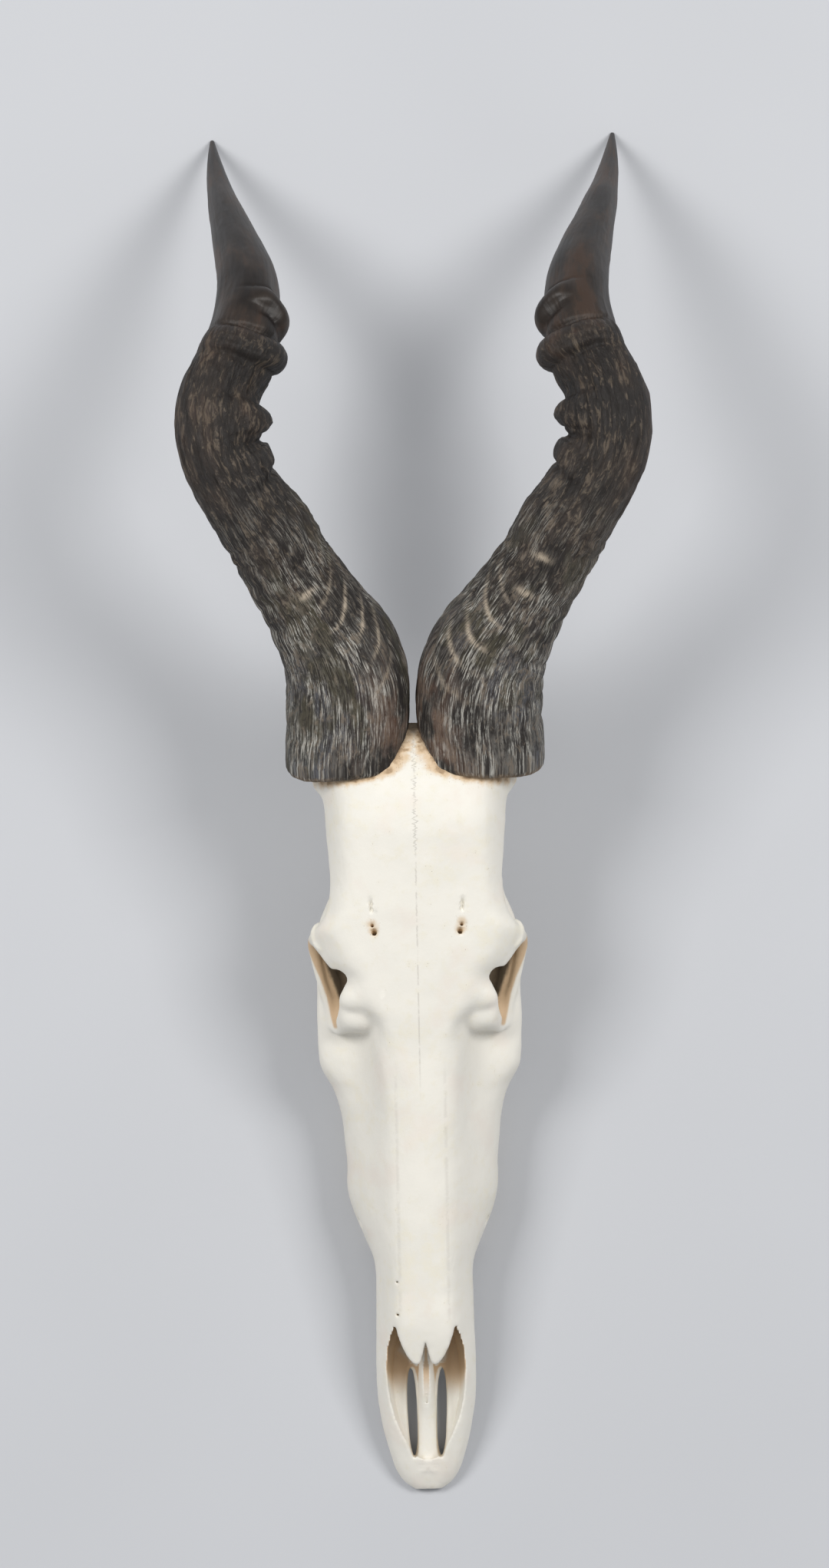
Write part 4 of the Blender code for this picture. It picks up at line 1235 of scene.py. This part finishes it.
def floor_paint(colour):
    """Pale matt board."""
    paint = Paint("pale_board")
    spot = paint.position()
    cloud = paint.noise(spot, 1.6, 3.0)
    fine = paint.noise(spot, 700.0, 2.0)
    tone = paint.mix(colour, [c * 0.965 for c in colour], paint.run(cloud, 0.4, 0.65))
    return paint.finish(tone, 0.9, fine, 0.00002, {"Specular IOR Level": 0.1})


# ---------------------------------------------------------------------------------------- settings


def colour_property(name, description, value):
    """A colour setting."""
    return FloatVectorProperty(
        name=name, description=description, default=value, size=3, min=0.0, max=1.0, subtype="COLOR"
    )


def length_property(name, description, value, **limits):
    """A setting in metres, with min and max if they are given."""
    return FloatProperty(name=name, description=description, default=value, unit="LENGTH", **limits)


class SkullShape(bpy.types.PropertyGroup):
    """Sizes of the bone's fine shape."""

    grid_step: length_property("Grid Step", "Distance between grid points", MM, min=0.6 * MM, max=3 * MM)
    triangles: IntProperty(
        name="Triangles", description="Triangles that the bone is simplified to", default=188000, min=5000
    )
    unevenness: length_property("Unevenness", "Height of the low lumps of the bone", 0.35 * MM)


class HornShape(bpy.types.PropertyGroup):
    """Sizes of the horn sheaths' fine shape."""

    rings: IntProperty(name="Rings", description="Rings of points along each horn", default=500, min=100)
    sides: IntProperty(name="Sides", description="Points round each ring", default=180, min=24)
    ring_spacing: length_property("Growth Ring Spacing", "Distance between growth rings", 14.4 * MM)
    ring_height: length_property("Growth Ring Height", "Height of the growth rings", 1.5 * MM)
    bark_height: length_property("Bark Height", "Relief of the rough middle of the horn", 1.5 * MM)
    furrow_depth: length_property("Furrow Depth", "Depth of the furrows along the horn", 0.4 * MM)


class ToothShape(bpy.types.PropertyGroup):
    """Places and sizes of the cheek teeth."""

    row_start: length_property("Row Start", "Station of the first tooth's front", 151 * MM)
    spacing: length_property("Spacing", "Gap between teeth", 0.6 * MM)
    top: length_property("Top", "Height that the teeth reach up to", 21 * MM)
    front_offset: length_property("Front Offset", "Row's front from the midline", 28.5 * MM)
    back_offset: length_property("Back Offset", "Row's back from the midline", 35 * MM)


class SkullLooks(bpy.types.PropertyGroup):
    """Colours and surface depths of bone, horn and teeth."""

    bone: colour_property("Bone", "Clean bleached bone", (0.86, 0.835, 0.765))
    bone_shade: colour_property("Bone Shade", "Cooler cream in broad patches", (0.82, 0.80, 0.735))
    bone_warm: colour_property("Bone Warm", "Warmer cream in small patches", (0.83, 0.79, 0.67))
    bone_pink: colour_property("Bone Pink", "Faint pinkish patches", (0.84, 0.775, 0.70))
    # Colour of the painted shade in the hollows.
    bone_deep_shade: colour_property("Bone Deep", "Duller bone deep in the hollows", (0.60, 0.50, 0.37))
    hollow: colour_property("Hollow", "Orange brown inside nose and eye sockets", (0.65, 0.44, 0.245))
    # Colour of the painted shadow deep in the eye sockets.
    socket_shadow: colour_property("Dark", "Darkest brown deep in the eye sockets", (0.05, 0.038, 0.026))
    stain: colour_property("Stain", "Yellow brown at the horns", (0.66, 0.45, 0.24))
    dirt: colour_property("Dirt", "Dark brown at the horns", (0.22, 0.13, 0.07))
    seam: colour_property("Seam", "Lines where bones meet", (0.34, 0.31, 0.28))
    horn_dark: colour_property("Horn Dark", "Darkest horn", (0.016, 0.0125, 0.011))
    horn_brown: colour_property("Horn Brown", "Brown horn", (0.050, 0.036, 0.028))
    horn_grey: colour_property("Horn Grey", "Grey of the horn's base", (0.12, 0.118, 0.11))
    horn_blue: colour_property("Horn Blue", "Bluish grey of the horn's base", (0.09, 0.10, 0.118))
    horn_olive: colour_property("Horn Olive", "Olive tints of the lower half", (0.085, 0.078, 0.045))
    fibre_tan: colour_property("Tan Fibre", "Tan frayed fibres", (0.19, 0.155, 0.118))
    fibre_pale: colour_property("Pale Fibre", "Pale frayed fibres", (0.48, 0.47, 0.43))
    growth_line: colour_property("Growth Line", "Light lines across the horn", (0.58, 0.49, 0.38))
    rim_tan: colour_property("Rim Tan", "Tan of the horn's open edge", (0.30, 0.20, 0.11))
    rust: colour_property("Rust", "Rusty brown hints", (0.14, 0.06, 0.028))
    enamel: colour_property("Enamel", "Tooth enamel", (0.72, 0.66, 0.52))
    dentine: colour_property("Dentine", "Dentine of the worn faces", (0.48, 0.34, 0.19))
    tooth_stain: colour_property("Tooth Stain", "Brown on the crowns", (0.24, 0.15, 0.08))
    pit: colour_property("Pit", "Dark pits of the worn faces", (0.05, 0.035, 0.025))
    bone_bump: length_property("Bone Bump", "Depth of the bone's fine relief", 0.42 * MM)
    horn_bump: length_property("Horn Bump", "Depth of the horn's fine relief", 1.0 * MM)
    tooth_bump: length_property("Tooth Bump", "Depth of the teeth's fine relief", 0.25 * MM)


class StudioSettings(bpy.types.PropertyGroup):
    """Floor, lights and camera."""

    floor_colour: colour_property("Floor", "Colour of the floor", (0.585, 0.60, 0.632))
    floor_size: length_property("Floor Size", "Length of the floor", 9.0)
    key_power: FloatProperty(name="Key Power", description="Power of each light", default=38.0, unit="POWER")
    key_size: length_property("Key Size", "Width of each soft light", 1.0)
    key_offset: length_property("Key Offset", "Distance of the lights from the middle", 1.45)
    key_height: length_property("Key Height", "Height of the lights", 2.4)
    fill: FloatProperty(name="Fill", description="Strength of the light from all round", default=0.36)
    camera_height: length_property("Camera Height", "Height of the camera", 3.0)
    camera_side: length_property("Camera Side", "Camera's offset to the right", 19.1 * MM)
    camera_ahead: length_property("Camera Ahead", "Camera's offset towards the snout", 0.2903)
    camera_roll: FloatProperty(
        name="Camera Roll", description="Turn of the picture", default=radians(1.05), subtype="ANGLE"
    )
    filled: FloatProperty(name="Filled", description="Share of the height that the skull fills", default=0.9)


# --------------------------------------------------------------------------------------- operators


class SKULL_OT_cranium(bpy.types.Operator):
    """Build the bone of the skull"""

    bl_idname = "skull.cranium"
    bl_label = "Build Cranium"

    def execute(self, context):
        shape = context.scene.skull_shape
        block = bone_block(shape.grid_step / MM)
        points, quads, triangles = block.surface()
        looks = bone_paint(context.scene.skull_looks)
        piece = new_piece("skull_bone", place(points), quads, triangles, looks, ["cranium"])
        mesh = simplified(piece, shape.triangles)
        self.finish_surface(block, mesh, shape.unevenness)
        return {"FINISHED"}

    @staticmethod
    def finish_surface(block, mesh, unevenness):
        """Low lumps in the surface, and the values that the material reads."""
        points = vectors(mesh.vertices, "co") / MM + (0, MIDDLE_STATION, 0)
        normals = vectors(mesh.vertex_normals, "vector")
        if block.sample(block.field, points + 1.5 * normals * block.step).mean() < 0:
            mesh.flip_normals()
            normals = -normals
        lumps = 0.6 * lumpiness(points, 9, 1) + 0.3 * lumpiness(points, 3.6, 2)
        moved = points + normals * (lumps * unevenness / MM)[:, None]
        moved[:, 2] = np.maximum(moved[:, 2], 0.3)
        mesh.vertices.foreach_set("co", place(moved).astype(np.float32).ravel())
        crowding = block.sample(block.crowding(CROWDING_REACH), points + normals * CROWDING_AWAY)
        # How crowded by bone each point is, which sets the painted shade in the hollows.
        keep_values(mesh, "hollow", fade(crowding, 0.24, 0.55))
        tan, socket_shadow = inner_colour_places(points, normals)
        keep_values(mesh, "tan", tan)
        keep_values(mesh, "socket_shadow", socket_shadow)
        keep_values(mesh, "stain", stained_places(points, rim_points(bpy.context.scene.horn_shape)))
        keep_values(mesh, "roof", 1 - fade(block.roof(points[:, 0], points[:, 1]) - points[:, 2], 2, 5))
        mesh.update()


class SKULL_OT_horns(bpy.types.Operator):
    """Build both horn sheaths"""

    bl_idname = "skull.horns"
    bl_label = "Build Horns"

    def execute(self, context):
        shape = context.scene.horn_shape
        for word, side in SIDES.items():
            seed = HORN_SEEDS[word]
            rings, grain = horn_rings(shape, seed)
            rings = rings * (side, 1, 1)
            rings[..., 0] += np.interp(grain[..., 2], *np.array(HORN_LEAN, float).T)
            points, quads, triangles = skin(rings)
            if side < 0:
                quads, triangles = quads[:, ::-1], triangles[:, ::-1]
            looks = horn_paint(context.scene.skull_looks, f"horn_{word}_finish", 0.11 + 0.07 * side)
            piece = new_piece(
                f"horn_sheath_{word}", place(points), quads, triangles, looks, [f"horn_{word}"]
            )
            self.keep_grain(piece.data, grain, word, seed)
        return {"FINISHED"}

    @staticmethod
    def keep_grain(mesh, grain, word, seed):
        """The values that the material reads: place in the grain, share along the horn, lines, and creases
        that carry painted shade.
        """
        flat = grain.reshape(-1, 3)
        flat = np.vstack([flat, grain[0].mean(0), grain[-1].mean(0)])
        length = flat[:, 2]
        turn = np.arctan2(flat[:, 1], flat[:, 0])
        keep_values(mesh, "grain", flat * MM)
        keep_values(mesh, "reach", length / length.max())
        crease = np.zeros(len(flat))
        # Crease mask, which darkens the horn as painted shade.
        for spot, _, half, faces, spread, sag in CREASES:
            off = (length + sag * np.sin(turn) - spot) / half
            crease += turned(turn, faces, spread) * np.exp(-(off**2))
        keep_values(mesh, "crease_shade", np.clip(crease, 0, 1))
        keep_values(mesh, "inward", turned(turn, 25, 50))
        keep_values(mesh, "rim", 1 - fade(length, 0.5, 5))
        waver = 2.5 * lumpiness(flat, 20, seed + 5)
        broken = fade(lumpiness(flat, 17, seed + 6), -0.75, -0.1)
        lines = np.zeros(len(flat))
        for spot, strength in GROWTH_LINES:
            line = np.exp(-((growth_line_place(length + waver, turn, spot) / 1.2) ** 2))
            lines += strength * line * turned(turn, 50, 25)
        lines *= broken
        for spot, faces in SCARS[word]:
            lines += np.exp(-(((length + waver * 0.6 - spot) / 2.0) ** 2)) * turned(turn, faces, 11)
        keep_values(mesh, "line", np.clip(lines, 0, 1))


class SKULL_OT_teeth(bpy.types.Operator):
    """Build the cheek teeth of both sides"""

    bl_idname = "skull.teeth"
    bl_label = "Build Teeth"

    def execute(self, context):
        shape = context.scene.tooth_shape
        looks = tooth_paint(context.scene.skull_looks)
        total = sum(tooth[1] for tooth in TEETH) + shape.spacing / MM * (len(TEETH) - 1)
        start = shape.row_start / MM
        for name, length, width, lobes in TEETH:
            station = start + length / 2
            share = (station - shape.row_start / MM) / total
            bend = min(1, share * 1.5) ** 0.8
            offset = (shape.front_offset + (shape.back_offset - shape.front_offset) * bend) / MM
            for word, side in SIDES.items():
                size = (length, width, lobes)
                rings, enamel, pits = tooth_rings(size, shape.top / MM, side, offset, station)
                points, quads, triangles = skin(rings)
                if side > 0:
                    quads, triangles = quads[:, ::-1], triangles[:, ::-1]
                node = f"{name}_{word}"
                piece = new_piece(f"{node}_crown", place(points), quads, triangles, looks, [node])
                ends = [enamel[0].mean(), enamel[-1].mean()]
                keep_values(piece.data, "enamel", np.concatenate([enamel.ravel(), ends]))
                keep_values(piece.data, "pit", np.concatenate([pits.ravel(), [pits[0].mean(), 0]]))
            start += length + shape.spacing / MM
        return {"FINISHED"}


class SKULL_OT_studio(bpy.types.Operator):
    """Build the floor, the soft lights and the camera"""

    bl_idname = "skull.studio"
    bl_label = "Build Studio"

    def execute(self, context):
        studio = context.scene.skull_studio
        self.add_floor(context, studio)
        for word, side in SIDES.items():
            self.add_light(context, studio, word, side)
        self.add_surroundings(context, studio)
        self.add_camera(context, studio)
        context.scene.view_settings.view_transform = "Standard"
        return {"FINISHED"}

    @staticmethod
    def add_floor(context, studio):
        half = studio.floor_size / 2
        mesh = bpy.data.meshes.new("floor")
        corners = [(-half, -half, 0), (half, -half, 0), (half, half, 0), (-half, half, 0)]
        mesh.from_pydata(corners, [], [(0, 1, 2, 3)])
        mesh.materials.append(floor_paint(studio.floor_colour))
        floor = bpy.data.objects.new("floor", mesh)
        context.scene.collection.objects.link(floor)

    @staticmethod
    def add_light(context, studio, word, side):
        light = bpy.data.lights.new(f"soft_light_{word}", "AREA")
        light.shape = "SQUARE"
        light.size = studio.key_size
        light.energy = studio.key_power
        light.color = LIGHT_COLOUR
        lamp = bpy.data.objects.new(f"soft_light_{word}", light)
        context.scene.collection.objects.link(lamp)
        lamp.location = (side * studio.key_offset, LIGHT_BEHIND, studio.key_height)
        aim = Vector(LIGHT_AIM) - lamp.location
        lamp.rotation_mode = "QUATERNION"
        lamp.rotation_quaternion = aim.to_track_quat("-Z", "Y")

    @staticmethod
    def add_surroundings(context, studio):
        world = bpy.data.worlds.new("soft_surroundings")
        world.use_nodes = True
        background = world.node_tree.nodes["Background"]
        background.inputs["Color"].default_value = (*SKY_COLOUR, 1.0)
        background.inputs["Strength"].default_value = studio.fill
        context.scene.world = world

    @staticmethod
    def add_camera(context, studio):
        low, high = CAD_BOX
        centre = (low + high) / 2
        data = bpy.data.cameras.new("camera")
        camera = bpy.data.objects.new("camera", data)
        context.scene.collection.objects.link(camera)
        camera.location = (studio.camera_side, -studio.camera_ahead, studio.camera_height)
        aim = centre - camera.location
        camera.rotation_mode = "QUATERNION"
        up = Vector((sin(studio.camera_roll), cos(studio.camera_roll), 0))
        right = aim.cross(up).normalized()
        axes = Matrix((right, right.cross(aim.normalized()), -aim.normalized())).transposed()
        camera.rotation_quaternion = axes.to_quaternion()
        data.sensor_width = SENSOR_WIDTH
        data.lens = data.sensor_width * aim.length * studio.filled / (high.y - low.y)
        context.scene.camera = camera


class SKULL_PT_panel(bpy.types.Panel):
    """Buttons and settings of the skull"""

    bl_idname = "SKULL_PT_panel"
    bl_label = "Hartebeest Skull"
    bl_space_type = "VIEW_3D"
    bl_region_type = "UI"
    bl_category = "Skull"

    def draw(self, context):
        for operator in BUILDERS:
            self.layout.operator(operator.bl_idname)
        for name, group in GROUPS.items():
            box = self.layout.box()
            box.label(text=group.__doc__)
            for setting in group.__annotations__:
                box.prop(getattr(context.scene, name), setting)


GROUPS = {
    "skull_shape": SkullShape,
    "horn_shape": HornShape,
    "tooth_shape": ToothShape,
    "skull_looks": SkullLooks,
    "skull_studio": StudioSettings,
}
BUILDERS = (SKULL_OT_studio, SKULL_OT_cranium, SKULL_OT_horns, SKULL_OT_teeth)


def register():
    for group in (*GROUPS.values(), *BUILDERS, SKULL_PT_panel):
        bpy.utils.register_class(group)
    for name, group in GROUPS.items():
        setattr(bpy.types.Scene, name, PointerProperty(type=group))


def unregister():
    for name in GROUPS:
        delattr(bpy.types.Scene, name)
    for group in (SKULL_PT_panel, *reversed(BUILDERS), *reversed(GROUPS.values())):
        bpy.utils.unregister_class(group)


def main():
    register()
    bpy.ops.skull.studio()
    bpy.ops.skull.cranium()
    bpy.ops.skull.horns()
    bpy.ops.skull.teeth()


if __name__ == "__main__":
    main()
